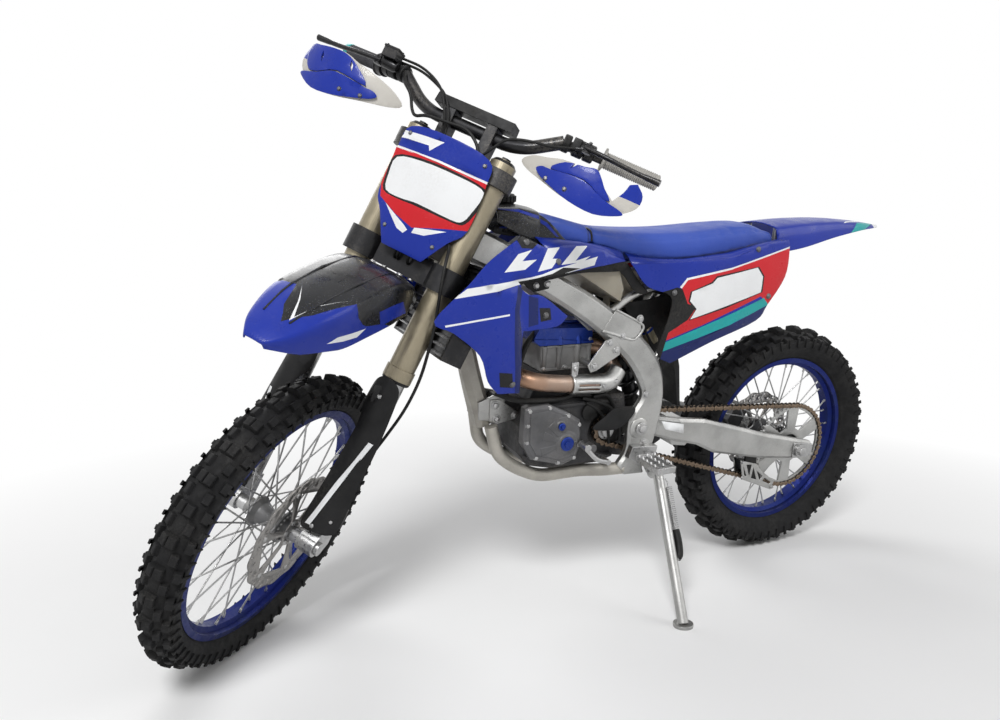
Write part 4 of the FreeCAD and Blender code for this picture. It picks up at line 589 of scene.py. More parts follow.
def lathe(start, end, profile, segments=24):
    """A turned solid between two points, its profile as share of the length and radius."""
    start = Vector(start)
    run = Vector(end) - start
    side, up = across_frame(run.normalized())
    return lofted([circle_points(start + run * share, side, up, radius, segments)
                   for share, radius in profile])


def cylinder(start, end, radius, segments, edge=0.8):
    """A rod with slightly rounded ends."""
    length = (Vector(end) - Vector(start)).length
    share = min(0.45, edge / length)
    return band(start, end, radius - edge, radius, segments, share)


def band(start, end, low, high, segments, share=0.1):
    """A clamp band: its edges are lower than its middle."""
    return lathe(start, end, ((0, low), (share, high), (1 - share, high), (1, low)), segments)


def boss(x, z, start, end, radius, top, hold=0.5, segments=36):
    """A turned boss that points across the bike, with a smaller top."""
    return lathe((x, start, z), (x, end, z), ((0, radius), (hold, radius), (1, top)), segments)


def swept(route, radius, sides=14):
    """A tube along a route."""
    side = across_frame((route[1] - route[0]).normalized())[0]
    rings = []
    for point, along in zip(route, ways(route)):
        side = (side - along * side.dot(along)).normalized()
        rings.append(circle_points(point, side, side.cross(along), radius, sides))
    return lofted(rings)


def slab(outline, low, high):
    """A plate with an X and Z outline between two places across."""
    return lofted([[Vector((x, place, z)) for x, z in outline] for place in (low, high)])


def side_slabs(outline, near, far):
    """The same plate on each side of the bike."""
    return [slab(outline, side * near, side * far) for side in (-1, 1)]


def box(corner, outline, heights):
    """An upright form from an X and Y outline, at heights over a corner."""
    return lofted([[corner + Vector((x, y, z)) for x, y in outline] for z in heights])


def mirrored_mesh(vertices, faces):
    return ([Vector((vertex[0], -vertex[1], vertex[2])) for vertex in vertices],
            [tuple(reversed(face)) for face in faces])


def bolt(centre, direction, radius, height):
    """A flanged hexagon bolt head."""
    centre = Vector(centre)
    out = Vector(direction).normalized()
    top = centre + out * height * 0.4
    flange = lathe(centre, top, ((0, radius * 1.25), (0.6, radius * 1.25), (1, radius)), 20)
    head = lathe(top, centre + out * height * 1.4,
                 ((0, radius), (0.85, radius), (1, radius * 0.85)), 6)
    return joined([flange, head])


def hexagon(centre, direction, radius, height):
    """A plain hexagon with a washer under it."""
    centre = Vector(centre)
    out = Vector(direction)
    top = centre + out * 1.6
    washer = lathe(centre, top, ((0, radius * 1.5), (1, radius * 1.5)), 24)
    head = lathe(top, centre + out * height, ((0, radius), (0.9, radius), (1, radius * 0.86)), 6)
    return joined([washer, head])


def side_bolts(spots, radius, height, make=bolt):
    """Bolt heads on both sides, from places on the left side."""
    return [make((x, side * y, z), (0, side, 0), radius, height)
            for x, y, z in spots for side in (-1, 1)]


# Pieces that ride on a body

def new_piece(name, vertices, faces, looks, body, smooth=True, face_looks=None):
    """A mesh given in its body's frame, in millimetres, that rides on the body."""
    mesh = bpy.data.meshes.new(name)
    place = BODY_PLACE[body]
    mesh.from_pydata([place @ (Vector(vertex) * MM) for vertex in vertices], [], faces)
    mesh.update()
    names = [looks] if isinstance(looks, str) else looks
    for look in names:
        mesh.materials.append(M[look])
    for index, face in enumerate(mesh.polygons):
        face.use_smooth = smooth
        if face_looks:
            face.material_index = face_looks[index]
    piece = bpy.data.objects.new(name, mesh)
    bpy.context.scene.collection.objects.link(piece)
    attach(piece, body)
    return piece


def zoned_piece(name, vertices, faces, numbers, base, zones, body):
    """A piece whose faces take the base look or that of the zone with their number."""
    names = [base] + [look for _, look in zones]
    order = list(dict.fromkeys(names))
    return new_piece(name, vertices, faces, order, body,
                     face_looks=[order.index(names[number]) for number in numbers])


def stands_for(piece, node):
    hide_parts(node)


def softened(piece, width, segments, angle):
    """Rounds a piece's sharp edges."""
    bevel = piece.modifiers.new("edges", "BEVEL")
    bevel.width = width * MM
    bevel.segments = segments
    bevel.limit_method = "ANGLE"
    bevel.angle_limit = math.radians(angle)


def walled(piece, wall, offset=-1):
    """Gives an open shell its wall."""
    solid = piece.modifiers.new("wall", "SOLIDIFY")
    solid.thickness = wall * MM
    solid.offset = offset
    return solid


def sharp_by_angle(piece, angle=35):
    """Marks edges over an angle as sharp, so flat faces stay flat under smooth shading."""
    piece.data.set_sharp_from_angle(angle=math.radians(angle))


def detail(name, parts, look, body, edge=0.6, angle=35):
    """A solid piece put together from several closed forms."""
    piece = new_piece(name, *joined(parts), look, body)
    mesh = bmesh.new()
    mesh.from_mesh(piece.data)
    bmesh.ops.recalc_face_normals(mesh, faces=mesh.faces)
    mesh.to_mesh(piece.data)
    mesh.free()
    sharp_by_angle(piece, angle)
    if edge:
        softened(piece, edge, 2, 50)
    return piece


def panel(name, outline, height, wall, looks, body, zones=(), holes=(), spacing=14, facing="left",
          edge=0.7):
    """A curved moulded panel cut to an outline, with zones of other finishes.

    Facing left, the outline is X and Z and the height Y. Facing front, the outline is Y and Z
    and the height X.
    """
    vertices, faces, numbers = flat_mesh(outline, spacing, zones, holes)
    if facing == "left":
        placed = [Vector((u, height(u, v), v)) for u, v in vertices]
    else:
        placed = [Vector((height(u, v), u, v)) for u, v in vertices]
    piece = zoned_piece(name, placed, faces, numbers, looks, zones, body)
    walled(piece, wall, 0).use_even_offset = True
    if edge:
        softened(piece, edge, 2, 60)
    return piece


def panel_pair(name, outline, height, wall, looks, zones=(), **settings):
    """One panel on the left of the bike and its mirror image on the right."""
    return [panel(f"{name}_{label}", outline, lambda x, z: side * height(x, z), wall, looks,
                  "chassis", zones, **settings) for label, side in SIDES]


def front_panel(name, outline, height, looks, zones=(), holes=(), spacing=12):
    return panel(name, outline, height, 3, looks, "steering", zones, holes, spacing, "front")


# Tyres, rims and spokes

SPOKES = 36
FRONT_DISC = 135
FRONT_DISC_ACROSS = 57


def crown_height(tip, half_width, across):
    """Radius of the tread's top at a place across, as in the solid: an arc, then a slope."""
    crown = 0.62 * half_width
    edge = math.radians(52)
    reach = crown * math.sin(edge)
    if abs(across) <= reach:
        return tip - crown + math.sqrt(crown**2 - across**2)
    share = (abs(across) - reach) / (half_width - reach)
    top = tip - crown + crown * math.cos(edge)
    return top + (tip - 26 - top) * share


def knob(tip, half_width, across, angle, wide, long, height):
    """A tapered tread block. Its top follows the tread's slope."""
    step = 1.0
    slope = crown_height(tip, half_width, across + step) - crown_height(tip, half_width, across - step)
    out = Vector(polar(1, math.atan2(-slope, 2 * step)))
    side = Vector((-out[1], out[0]))
    top_middle = Vector((crown_height(tip, half_width, across), across))
    vertices = []
    for depth, grow in ((height + 3, 2.4), (2.2, 0.4), (0.6, 0), (0, -1.0)):
        for share_along, share_wide in ((-1, -1), (1, -1), (1, 1), (-1, 1)):
            flat = top_middle - out * depth + side * share_wide * (wide / 2 + grow)
            turn = angle + share_along * (long / 2 + grow) / flat[0]
            vertices.append(wheel_point(flat[0], turn, flat[1]))
    faces = [(15, 14, 13, 12)]
    for row in range(3):
        for column in range(4):
            after = (column + 1) % 4
            faces.append((row * 4 + column, (row + 1) * 4 + column, (row + 1) * 4 + after,
                          row * 4 + after))
    return vertices, faces


def side_rib(half_width, tip, side, angle):
    """A thin moulded rib that runs down from the shoulder blocks."""
    vertices = []
    for drop, wide, half in ((24, 0.98, 5), (40, 0.985, 3), (52, 0.96, 1)):
        radius = tip - drop
        for out in (-3, 1.2):
            for share in (-1, 1):
                vertices.append(wheel_point(radius, angle + share * half / radius,
                                            side * (half_width * wide + out)))
    faces = [(2, 3, 7, 6), (6, 7, 11, 10), (0, 2, 6, 4), (4, 6, 10, 8), (3, 1, 5, 7), (7, 5, 9, 11),
             (0, 1, 3, 2), (8, 10, 11, 9)]
    if side < 0:
        faces = [tuple(reversed(face)) for face in faces]
    return vertices, faces


def carcass_profile(tip, half_width, bead, seat, depth):
    """The carcass's section from one bead to the other, as radius and place across."""
    low = bead + 16
    profile = [(bead, seat), (bead + 6, seat + 1), (bead + 12, seat + 4), (bead + 13, seat + 8),
               (low, seat + 9)]
    side_top = tip - 32
    bulge = half_width * 0.95
    for step in range(1, 8):
        share = step / 7
        across = seat + 9 + (bulge - seat - 9) * math.sin(share * math.pi / 2) ** 0.8
        profile.append((low + (side_top - low) * share, across))
    for share in (0.9, 0.75, 0.6, 0.45, 0.3, 0.15, 0):
        across = bulge * share
        shoulder = 3 if share > 0.8 else 0
        profile.append((crown_height(tip, half_width, across) - depth - shoulder, across))
    return profile + [(radius, -across) for radius, across in reversed(profile[:-1])]


def tyre(name, body, tip, half_width, bead, seat, rows, pitches, depth):
    """Carcass and tread blocks. A row is place across, width, length and phase."""
    profile = carcass_profile(tip, half_width, bead, seat, depth)
    rings = [[wheel_point(radius, TAU * step / 120, across) for radius, across in profile]
             for step in range(120)]
    carcass = new_piece(name + "_carcass", *lofted(rings, looped=True), "tyre", body)
    stands_for(carcass, name)
    blocks = []
    for pitch in range(pitches):
        for across, wide, long, phase in rows:
            angle = TAU * (pitch + phase) / pitches + random.uniform(-0.002, 0.002)
            for side in (1, -1):
                blocks.append(knob(tip, half_width, side * across, angle, wide, long, depth))
    for pitch in range(pitches * 2):
        for side in (1, -1):
            blocks.append(side_rib(half_width, tip, side, TAU * pitch / pitches / 2))
    tread = new_piece(name + "_tread", *joined(blocks), "tyre", body, smooth=False)
    softened(tread, 1.0, 1, 30)


def nipples(name, body, radius):
    """Square-necked nipples where the spokes meet the rim."""
    neck = ((0, 4.4), (0.25, 4.4), (0.3, 3.4), (0.9, 3.0), (1, 2.2))
    parts = []
    for index in range(SPOKES):
        side = 1 if index % 2 else -1
        out = wheel_point(1, TAU * (index + 0.5) / SPOKES)
        foot = out * (radius + 2) + LEFT * (side * 5)
        inward = (LEFT * (side * 35) - foot).normalized()
        parts.append(lathe(foot + out * 3, foot + inward * 13, neck, 8))
    sharp_by_angle(new_piece(name, *joined(parts), "steel", body), 40)


def spoke_heads(body, reach):
    """The bent ends of the spokes on both flanges of a hub."""
    heads = []
    for index in range(SPOKES // 2):
        for side in (-1, 1):
            angle = TAU * (index + (0.25 if side > 0 else 0.75)) / 18
            spot = wheel_point(reach, angle, side * 40)
            heads.append(lathe(spot, spot + LEFT * (side * 3), ((0, 3.4), (0.5, 3.4), (1, 1.6)), 8))
    detail(body + "_spoke_heads", heads, "steel", body, 0)


def ring_outline(radius, waves=0, depth=0, count=240):
    """A circle's outline, or a wavy one."""
    return [polar(radius - depth * (1 - math.cos(waves * TAU * step / count)) / 2, TAU * step / count)
            for step in range(count)]


def turned_hole(radius, angle, length, width, tilt):
    """A long round-ended hole at a radius and angle."""
    middle = Vector(polar(radius, angle))
    along = Vector(polar(1, angle + tilt))
    side = Vector((-along[1], along[0]))
    points = []
    for step in range(12):
        out, aside = polar(width / 2, TAU * step / 12)
        shift = (length - width) / 2 * (1 if out > 0 else -1)
        points.append(tuple(middle + along * (shift + out) + side * aside))
    return points


def brake_disc(name, node, body, radius, hub, across):
    """A wavy drilled disc on a spider of six arms."""
    holes = [list(reversed(ring_outline(hub, count=60)))]
    for step in range(36):
        holes.append(turned_hole(radius - (9, 19)[step % 2], TAU * step / 36, 10, 5.5, 0.7))
    near = hub + 13
    far = radius - 30
    rows = ((0.0, 0.36), (0.6, 0.42), (1.0, 0.40))
    corners = [(-1, *row) for row in rows] + [(1, *row) for row in reversed(rows)]
    for arm in range(6):
        middle = TAU * (arm + 0.5) / 6
        holes.append([polar(near + (far - near) * share, middle + side * spread)
                      for side, share, spread in corners])
    piece = panel(name, ring_outline(radius, 14, 5), lambda x, z: across, 3.5, "disc", body,
                  holes=holes, spacing=40, edge=0)
    stands_for(piece, node)
    rivets = []
    for arm in range(6):
        for spot in (hub + 7, far + 3):
            middle = wheel_point(spot, TAU * arm / 6, across)
            rivets.append(cylinder(middle - LEFT * 4, middle + LEFT * 4, 6, 14))
    detail(name + "_rivets", rivets, "steel", body)


def wheels():
    tyre("front_tyre", "front_wheel", 348, 46, 267.3, 20.7,
         ((9.5, 15, 20, 0), (24, 13, 20, 0.5), (38, 13, 20, 0.0)), 34, 12)
    tyre("rear_tyre", "rear_wheel", 340, 60, 241.3, 26.7,
         ((13, 20, 22, 0), (33, 19, 22, 0.5), (51, 17, 24, 0.0)), 30, 15)
    nipples("front_nipples", "front_wheel", 252)
    nipples("rear_nipples", "rear_wheel", 226)
    brake_disc("front_disc_plate", "front_disc", "front_wheel", FRONT_DISC, 19.5, FRONT_DISC_ACROSS)
    brake_disc("rear_disc_plate", "rear_disc", "rear_wheel", 122, 24.3, -62)
    spoke_heads("front_wheel", 30)
    spoke_heads("rear_wheel", 36)


# Shrouds, side panels and the pieces between them

SHROUD = ((1159, 794), (1083, 865), (1032, 914), (954, 962, 1), (892, 935, 1), (785, 938), (657, 898, 1),
          (805, 883), (892, 873), (952, 858), (932, 836), (894, 830), (822, 780, 1), (850, 759), (927, 755),
          (943, 743), (938, 611, 1), (995, 616, 1), (1024, 649), (1050, 711), (1114, 765))
SHROUD_ZONES = (
    (((1118, 838), (1087, 858), (1015, 865), (962, 871), (903, 880), (871, 889), (746, 912), (757, 893),
      (905, 868), (1015, 849)), "white"),
    (((1000, 888), (965, 925), (930, 933), (955, 910), (918, 912), (948, 892)), "white"),
    (((915, 886), (888, 935), (856, 936), (876, 912), (860, 912), (878, 892)), "white"),
    (((852, 898), (809, 937), (776, 937), (812, 905), (768, 914), (790, 902)), "white"),
    (((1134, 780), (1060, 788), (984, 795), (984, 799), (1060, 792), (1136, 784)), "white"),
    # Painted shade: a deep blue strip along the crease, where the shroud steps back.
    (((948, 850), (958, 800), (946, 748), (938, 611), (950, 613), (968, 740), (972, 810), (962, 858)),
     "deep_blue"),
    (((933, 834), (907, 827), (903, 768), (929, 764)), "deep_blue"),
    (((903, 805), (873, 803), (868, 776), (897, 773)), "black_gloss"),
    (((971, 958), (954, 966), (914, 946), (928, 935), (956, 937)), "black_gloss"),
    (((999, 668), (964, 662), (957, 626), (992, 632)), "black_gloss"),
    (((962, 866), (876, 880), (846, 892), (797, 888), (890, 870), (952, 856)), "black"),
)


def shroud_height(x, z):
    """Place across of the left shroud: bowed out, with a step back behind its crease."""
    forward = (x - 650) / 500
    crease = 937 + 36 * min(max((z - 612) / 250, 0), 1)
    step = min(max((crease - x) / 12, 0), 1) if z < 872 else 0
    return 118 + 60 * math.sin(min(forward, 1.05) * math.pi / 2) - 0.0006 * (z - 790) ** 2 - 9 * step


def shrouds():
    outline = smooth_loop(SHROUD, 4)
    for piece in panel_pair("shroud", outline, shroud_height, 3, "blue", crisp_zones(SHROUD_ZONES)):
        stands_for(piece, "shrouds")


SIDE_PANEL = ((643, 890, 1), (483, 896), (343, 905), (230, 934), (154, 944, 1), (150, 914), (158, 848),
              (209, 777), (242, 736), (380, 689), (498, 638, 1), (531, 652, 1), (545, 682), (527, 762),
              (530, 813), (598, 838))
SIDE_SHORT = ((643, 890, 1), (483, 896), (343, 905), (230, 934), (154, 944, 1), (150, 928), (330, 866),
              (470, 826), (540, 812), (598, 838))
SIDE_ZONES = (
    (((506, 834), (487, 856), (352, 878), (140, 929), (140, 925), (352, 873), (484, 851), (500, 831)),
     "white"),
    (((500, 831), (484, 851), (352, 873), (140, 925), (130, 840), (200, 760), (238, 801), (377, 752),
      (528, 699), (522, 720), (470, 751), (448, 785), (477, 792)), "red"),
    (((529, 695), (227, 797), (205, 776), (313, 738), (540, 655)), "teal"),
    (((560, 662), (312, 737), (205, 778), (200, 700), (520, 600)), "deep_blue"),
    (((560, 822), (513, 834), (497, 829), (477, 792), (448, 785), (470, 751), (522, 720), (532, 640),
      (570, 650)), "black"),
)
SIDE_FIELD = ((471, 799), (468, 822), (407, 841), (394, 854), (262, 876), (240, 852), (240, 812),
              (359, 780), (463, 752), (448, 778))


def side_height(x, z):
    return 122 + 12 * math.sin(math.pi * (x - 150) / 500) - 0.0005 * (z - 820) ** 2


def side_panels():
    field = [(crisp(grown(SIDE_FIELD, 5)), "black_gloss"), (crisp(SIDE_FIELD), "white")]
    for name, side, outline, zones in (("left", 1, SIDE_PANEL, crisp_zones(SIDE_ZONES) + field),
                                       ("right", -1, SIDE_SHORT, crisp_zones(SIDE_ZONES[:2]))):
        piece = panel("side_panel_" + name, smooth_loop(outline, 4),
                      lambda x, z: side * side_height(x, z), 3, "blue", "chassis", zones)
        stands_for(piece, "side_panels")


def closing_strip(name, edge, height):
    """A thin shelf on each side, from a panel's top edge in to the seat."""
    vertices = []
    faces = []
    for side in (1, -1):
        first = len(vertices)
        for x, z in edge:
            _, half, _, low = between_rows(SEAT_ROWS, min(x, SEAT_FRONT))
            outer = Vector((x, side * height(x, z), z))
            inner = Vector((x, side * (half - 5), low + 6))
            vertices += [outer, (outer + inner) / 2 + UP * 4, inner]
        for step in range(len(edge) - 1):
            for column in (0, 1):
                at = first + 3 * step + column
                face = (at, at + 3, at + 4, at + 1)
                faces.append(face if side > 0 else face[::-1])
    walled(new_piece(name, vertices, faces, "blue", "chassis"), 2.6, 0)


def closing_strips():
    closing_strip("side_top", [(643, 889), (560, 892), (483, 895), (410, 899), (343, 904), (290, 918),
                               (230, 933), (165, 942)], side_height)
    closing_strip("shroud_top", [(892, 934), (840, 937), (785, 937), (720, 919), (660, 899)],
                  shroud_height)


def knee_fillers():
    """Black pieces between each shroud's tail and the side panel behind it."""
    outline = smooth_loop([(732, 914), (690, 906), (650, 892, 1), (612, 850), (580, 818), (618, 822),
                           (668, 872), (738, 896)], 4)
    panel_pair("knee_filler", outline, lambda x, z: 109 - 0.03 * abs(z - 890), 3, "black")


# Number plate and handguards

PLATE = ((-50, 642, 1), (-86, 702), (-112, 742), (-110, 842), (-96, 890), (0, 899), (96, 890), (110, 842),
         (112, 742), (86, 702), (50, 642, 1))
PLATE_ZONES = (
    (((-130, 838), (130, 846), (130, 851), (-130, 843)), "white"),
    (((-130, 838), (130, 846), (130, 790), (118, 745), (72, 727), (2, 698), (-47, 710), (-101, 731),
      (-130, 790)), "red"),
    (((-80, 722), (-18, 697), (-5, 690), (-12, 680), (-30, 684)), "white"),
    (((8, 700), (75, 722), (34, 694), (6, 688)), "white"),
    (((-108, 878), (-5, 884), (-30, 856), (-36, 866), (-106, 861)), "white"),
)
PLATE_FIELD = ((-100, 820), (-37, 831), (48, 834), (104, 832), (112, 815), (106, 784), (96, 756), (72, 748),
               (-10, 748), (-50, 744), (-94, 748), (-104, 782))


def plate_height(across, up):
    return 65 + 33 * (up - 642) / 248 - 0.0016 * across * across


def number_plate():
    zones = crisp_zones(PLATE_ZONES) + [(smooth_loop(grown(PLATE_FIELD, 7), 3), "black_gloss"),
                                        (smooth_loop(PLATE_FIELD, 3), "white")]
    piece = front_panel("number_plate_face", smooth_loop(PLATE, 4), plate_height, "blue", zones,
                        spacing=11)
    stands_for(piece, "number_plate")


GUARD = ((150, 924), (172, 908), (225, 892), (285, 878), (345, 876), (388, 898), (412, 924), (410, 950),
         (396, 968, 1), (372, 969), (330, 972), (295, 971), (262, 962), (208, 952), (172, 941))
GUARD_NOTCHED = ((150, 924), (172, 908), (225, 892), (285, 878), (345, 876), (388, 898), (412, 924),
                 (412, 950), (394, 966, 1), (382, 958, 1), (378, 938), (366, 914, 1), (344, 928),
                 (329, 944), (314, 955, 1), (291, 950), (241, 948), (208, 942), (172, 938))
GUARD_BAND = ((196, 914), (208, 921), (230, 920), (300, 924), (348, 908), (392, 902), (388, 892),
              (345, 874), (290, 876), (240, 890), (210, 902))
GUARD_SHIELD = ((226, 924), (262, 955), (295, 969), (330, 971), (372, 969), (396, 967), (400, 942),
                (378, 912), (346, 912), (300, 928))
SHIELD_NOTCHED = ((226, 922), (250, 944), (291, 950), (314, 955), (329, 944), (344, 928), (362, 912),
                  (346, 908), (300, 926))
GUARD_END = ((352, 926), (430, 934), (430, 1000), (352, 1000))


def guard_height(across, up):
    out = (abs(across) - 290) / 120
    return 107 - 34 * out * out - 0.0016 * (up - 935) ** 2


def slot_hole(middle, length, width, tilt):
    """A long narrow opening with pointed ends."""
    along = Vector(polar(length / 2, tilt))
    side = Vector((-math.sin(tilt), math.cos(tilt))) * (width / 2)
    middle = Vector(middle)
    return [middle + along, middle + side, middle - along, middle - side]


def handguards():
    openings = [slot_hole((272, 949), 26, 7, 1.1), slot_hole((352, 946), 28, 7, 1.2)]
    for name, side, back, shield, cut in (("left", 1, GUARD_NOTCHED, SHIELD_NOTCHED, openings[:1]),
                                          ("right", -1, GUARD, GUARD_SHIELD, openings)):
        turn = list if side > 0 else flipped
        holes = [[(side * u, v) for u, v in hole] for hole in cut]
        base = front_panel("handguard_back_" + name, smooth_loop(turn(back), 3), guard_height,
                           "grey_white", [(crisp(turn(GUARD_END)), "blue")], holes)
        front_panel("handguard_shield_" + name, smooth_loop(turn(shield), 3),
                    lambda u, v: guard_height(u, v) + 4, "blue", holes=holes)
        front_panel("handguard_band_" + name, smooth_loop(turn(GUARD_BAND), 3),
                    lambda u, v: guard_height(u, v) + 7, "blue")
        stands_for(base, "handguards")


# Mudguards and tank cover

# A station is its place forward, height, half width and depth of the skirt.
FENDER = ((-10, 577.7, 58, 40), (40, 593.7, 64, 52), (84, 597.7, 84, 70), (165, 591.7, 92, 88),
          (260, 548, 90, 92), (350, 490, 82, 84), (412, 428, 56, 50), (440, 392, 22, 14))
FENDER_ROWS = sorted(FENDER)
REAR_FENDER = ((159.7, 976, 82, 72), (60, 984, 80, 66), (-60, 987, 70, 44), (-170, 982, 58, 22),
               (-250, 974, 34, 10), (-286, 970, 16, 5))
TANK_COVER = ((877, 1013, 92, 69), (930, 1021, 98, 63), (984, 1016, 92, 31))
CAP_X = 935
CAP_RADIUS = 33


def section_points(square=0.88):
    """A mudguard's section: a shallow crown, a crease each side and a skirt."""
    half = [(1, 1), (0.985, 0.78), (0.965, 0.56), (0.935, 0.36), (square, 0.2), (0.84, 0.12)]
    half += [(0.84 * (1 - step / 7), 0.12 * (1 - step / 7) ** 2) for step in range(1, 7)]
    left = [(-share, fall) for share, fall in half]
    return left + [(0, 0)] + [(share, fall) for share, fall in reversed(half)]


def section_lengths(section):
    """Places of a section's points along it, from -1 to 1."""
    places = [0.0]
    for before, after in zip(section, section[1:]):
        places.append(places[-1] + math.hypot(after[0] - before[0], after[1] - before[1]))
    return [2 * place / places[-1] - 1 for place in places]


def on_shell(stations, rows, along_shell, round_shell, raked):
    """A mudguard's point, from a place along it and a place round its section."""
    low = stations[0][0]
    high = stations[-1][0]
    forward, up, half, drop = between_rows(stations, min(max(along_shell, low), high))
    ahead = between_rows(stations, min(along_shell + 6, high))
    behind = between_rows(stations, max(along_shell - 6, low))
    along = Vector((ahead[0] - behind[0], 0, ahead[1] - behind[1])).normalized()
    down = Vector((along.z, 0, -along.x)) if raked else -UP
    _, share, fall = between_rows(rows, min(max(round_shell, -1), 1))
    return Vector((forward, share * half, up)) + down * (fall * drop)


def mudguard(name, stations, section, base, zones, body, raked=True):
    """A lofted shell open below, cut along its zones.

    A zone's corners are a place along and a place round the section, from -1 to 1.
    """
    dense = [list(station) for station in smooth_route(stations, 8)]
    backward = dense[0][0] > dense[-1][0]
    dense.sort(key=lambda station: station[0])
    rows = [[place, *point] for place, point in zip(section_lengths(section), section)]
    low = dense[0][0]
    high = dense[-1][0]
    width = 150
    corners = [(low, -width), (high, -width), (high, width), (low, width)]
    edge = []
    for (u, v), (next_u, next_v) in zip(corners, corners[1:] + corners[:1]):
        edge.extend([(u + (next_u - u) * step / 30, v + (next_v - v) * step / 30) for step in range(30)])
    scaled = [([(u, v * width) for u, v in crisp(zone)], look) for zone, look in zones]
    flat, faces, numbers = flat_mesh(edge, 9, scaled)
    vertices = [on_shell(dense, rows, u, v / width, raked) for u, v in flat]
    if backward:
        faces = [tuple(reversed(face)) for face in faces]
    piece = zoned_piece(name, vertices, faces, numbers, base, zones, body)
    walled(piece, 2.6)
    return piece


def front_fender():
    section = section_points()
    places = section_lengths(section)

    def crown(forward, across):
        """A zone's corner from a place forward and one across."""
        share = across / between_rows(FENDER_ROWS, forward)[2]
        nearest = min(range(len(section)), key=lambda index: (section[index][0] - share) ** 2
                      + (section[index][1] - 0.05) ** 2)
        return forward, places[nearest]

    tip = [crown(336, -30), crown(381, -10), crown(405, 15), crown(372, 48), crown(300, 76), (300, 0.66),
           (287, 0.78), (276, 0.83), (220, 0.92), (160, 1.1), (460, 1.1), (460, -1.1), (160, -1.1),
           (230, -0.95), (300, -0.82), (330, -0.7), crown(338, -56)]
    flash = [crown(333, -19), crown(398, 25), crown(350, 41), crown(303, 60), crown(352, 34),
             crown(390, 22)]
    patch = [(142, 0.72), (240, 0.72), (230, 0.93), (93, 0.93)]
    low_line = [(276, 0.86), (350, 0.8), (372, 0.86), (300, 0.92)]
    zones = [(tip, "blue"), (patch, "blue"), (mirror_zone(patch), "blue"), (low_line, "white"),
             (mirror_zone(low_line), "white"), (flash, "white")]
    piece = mudguard("front_mudguard", FENDER, section, "speckled", zones, "steering")
    stands_for(piece, "front_fender")


def fender_details():
    """Raised creases along the front mudguard's crown, and the bolts that hold it."""
    creases = []
    for side in (-1, 1):
        line = [between_rows(FENDER_ROWS, place) for place in range(40, 401, 20)]
        creases.append(swept([Vector((forward, side * half * 0.46, up - drop * 0.02))
                              for forward, up, half, drop in line], 2.2, 6))
    detail("mudguard_creases", creases, "speckled", "steering", 0)
    fasteners = [bolt((place, side * 34, 597), UP, 6, 3) for place in (30, 92) for side in (-1, 1)]
    detail("mudguard_bolts", fasteners, "steel", "steering", 0.3)


def rear_fender():
    tip = [(-300, -1.1), (-255, -1.1), (-240, 0), (-255, 1.1), (-300, 1.1)]
    teal = [(-272, 0.2), (-160, 0.5), (-120, 1.1), (-180, 1.1)]
    pale = [(-240, 0.1), (-120, 0.42), (-100, 0.52), (-170, 0.42)]
    zones = [(teal, "teal"), (mirror_zone(teal), "teal"), (pale, "white"), (mirror_zone(pale), "white"),
             (tip, "white")]
    piece = mudguard("rear_mudguard", REAR_FENDER, section_points(), "blue", zones, "chassis", False)
    stands_for(piece, "rear_fender")


def tank_cover():
    line = [(880, -0.62), (985, -0.5), (985, -0.44), (880, -0.55)]
    zones = [(line, "blue"), (mirror_zone(line), "blue")]
    piece = mudguard("tank_cover_shell", TANK_COVER, section_points(0.9), "speckled", zones, "chassis",
                     False)
    stands_for(piece, "tank_cover")


def filler_cap():
    cap = [lathe((CAP_X, 0, 1019), (CAP_X, 0, 1040),
                 ((0, CAP_RADIUS - 3), (0.2, CAP_RADIUS), (0.8, CAP_RADIUS), (1, CAP_RADIUS - 4)), 40)]
    for step in range(20):
        x, y = polar(CAP_RADIUS, TAU * step / 20)
        cap.append(cylinder((CAP_X + x, y, 1023), (CAP_X + x, y, 1036), 2.4, 6, 0.5))
    detail("filler_cap", cap, "black", "chassis", 0)


def wing_height(x, z):
    return 92.5 - 0.006 * max(z - 935, 0) ** 2


def tank_cover_wings():
    """The cover's rear ends, which lap over the front of the seat."""
    outline = smooth_loop([(925, 1004), (890, 1004), (862, 994), (838, 972), (818, 950), (796, 936, 1),
                           (854, 932), (900, 938, 1), (930, 960)], 4)
    stripe = crisp([(925, 992), (892, 992), (862, 976), (836, 952), (830, 952), (856, 982), (888, 999),
                    (925, 998)])
    panel_pair("tank_cover_wing", outline, wing_height, 2.6, "speckled", [(stripe, "blue")], spacing=10)


# Seat

# A row is its place forward, half width, top and bottom.
SEAT = ((876.7, 70, 1013, 952), (800, 80, 994, 936), (700, 88, 972, 924), (600, 92, 966, 894),
        (480, 96, 967, 888), (340, 94, 977, 902), (230, 84, 982, 920), (160, 72, 972, 930))
SEAT_ROWS = sorted(SEAT)
SEAT_FRONT = 876
SEAT_REAR = 160
SEAM_X = 724
SEAM_SWEEP = 0.12
SEAT_CROWN = ((-0.95, 0.66), (-0.87, 0.84), (-0.74, 0.93), (-0.5, 0.98), (-0.25, 1), (0, 1), (0.25, 1),
              (0.5, 0.98), (0.74, 0.93), (0.87, 0.84), (0.95, 0.66))
SEAT_SECTION = ((-0.9, 0.02), (-1, 0.1), (-0.99, 0.4), *SEAT_CROWN, (0.99, 0.4), (1, 0.1), (0.9, 0.02),
                (0.5, 0), (0, 0), (-0.5, 0))


def baked(piece):
    """Turns a piece's modifiers into its mesh."""
    graph = bpy.context.evaluated_depsgraph_get()
    mesh = bpy.data.meshes.new_from_object(piece.evaluated_get(graph))
    piece.modifiers.clear()
    piece.data = mesh
    for face in mesh.polygons:
        face.use_smooth = True


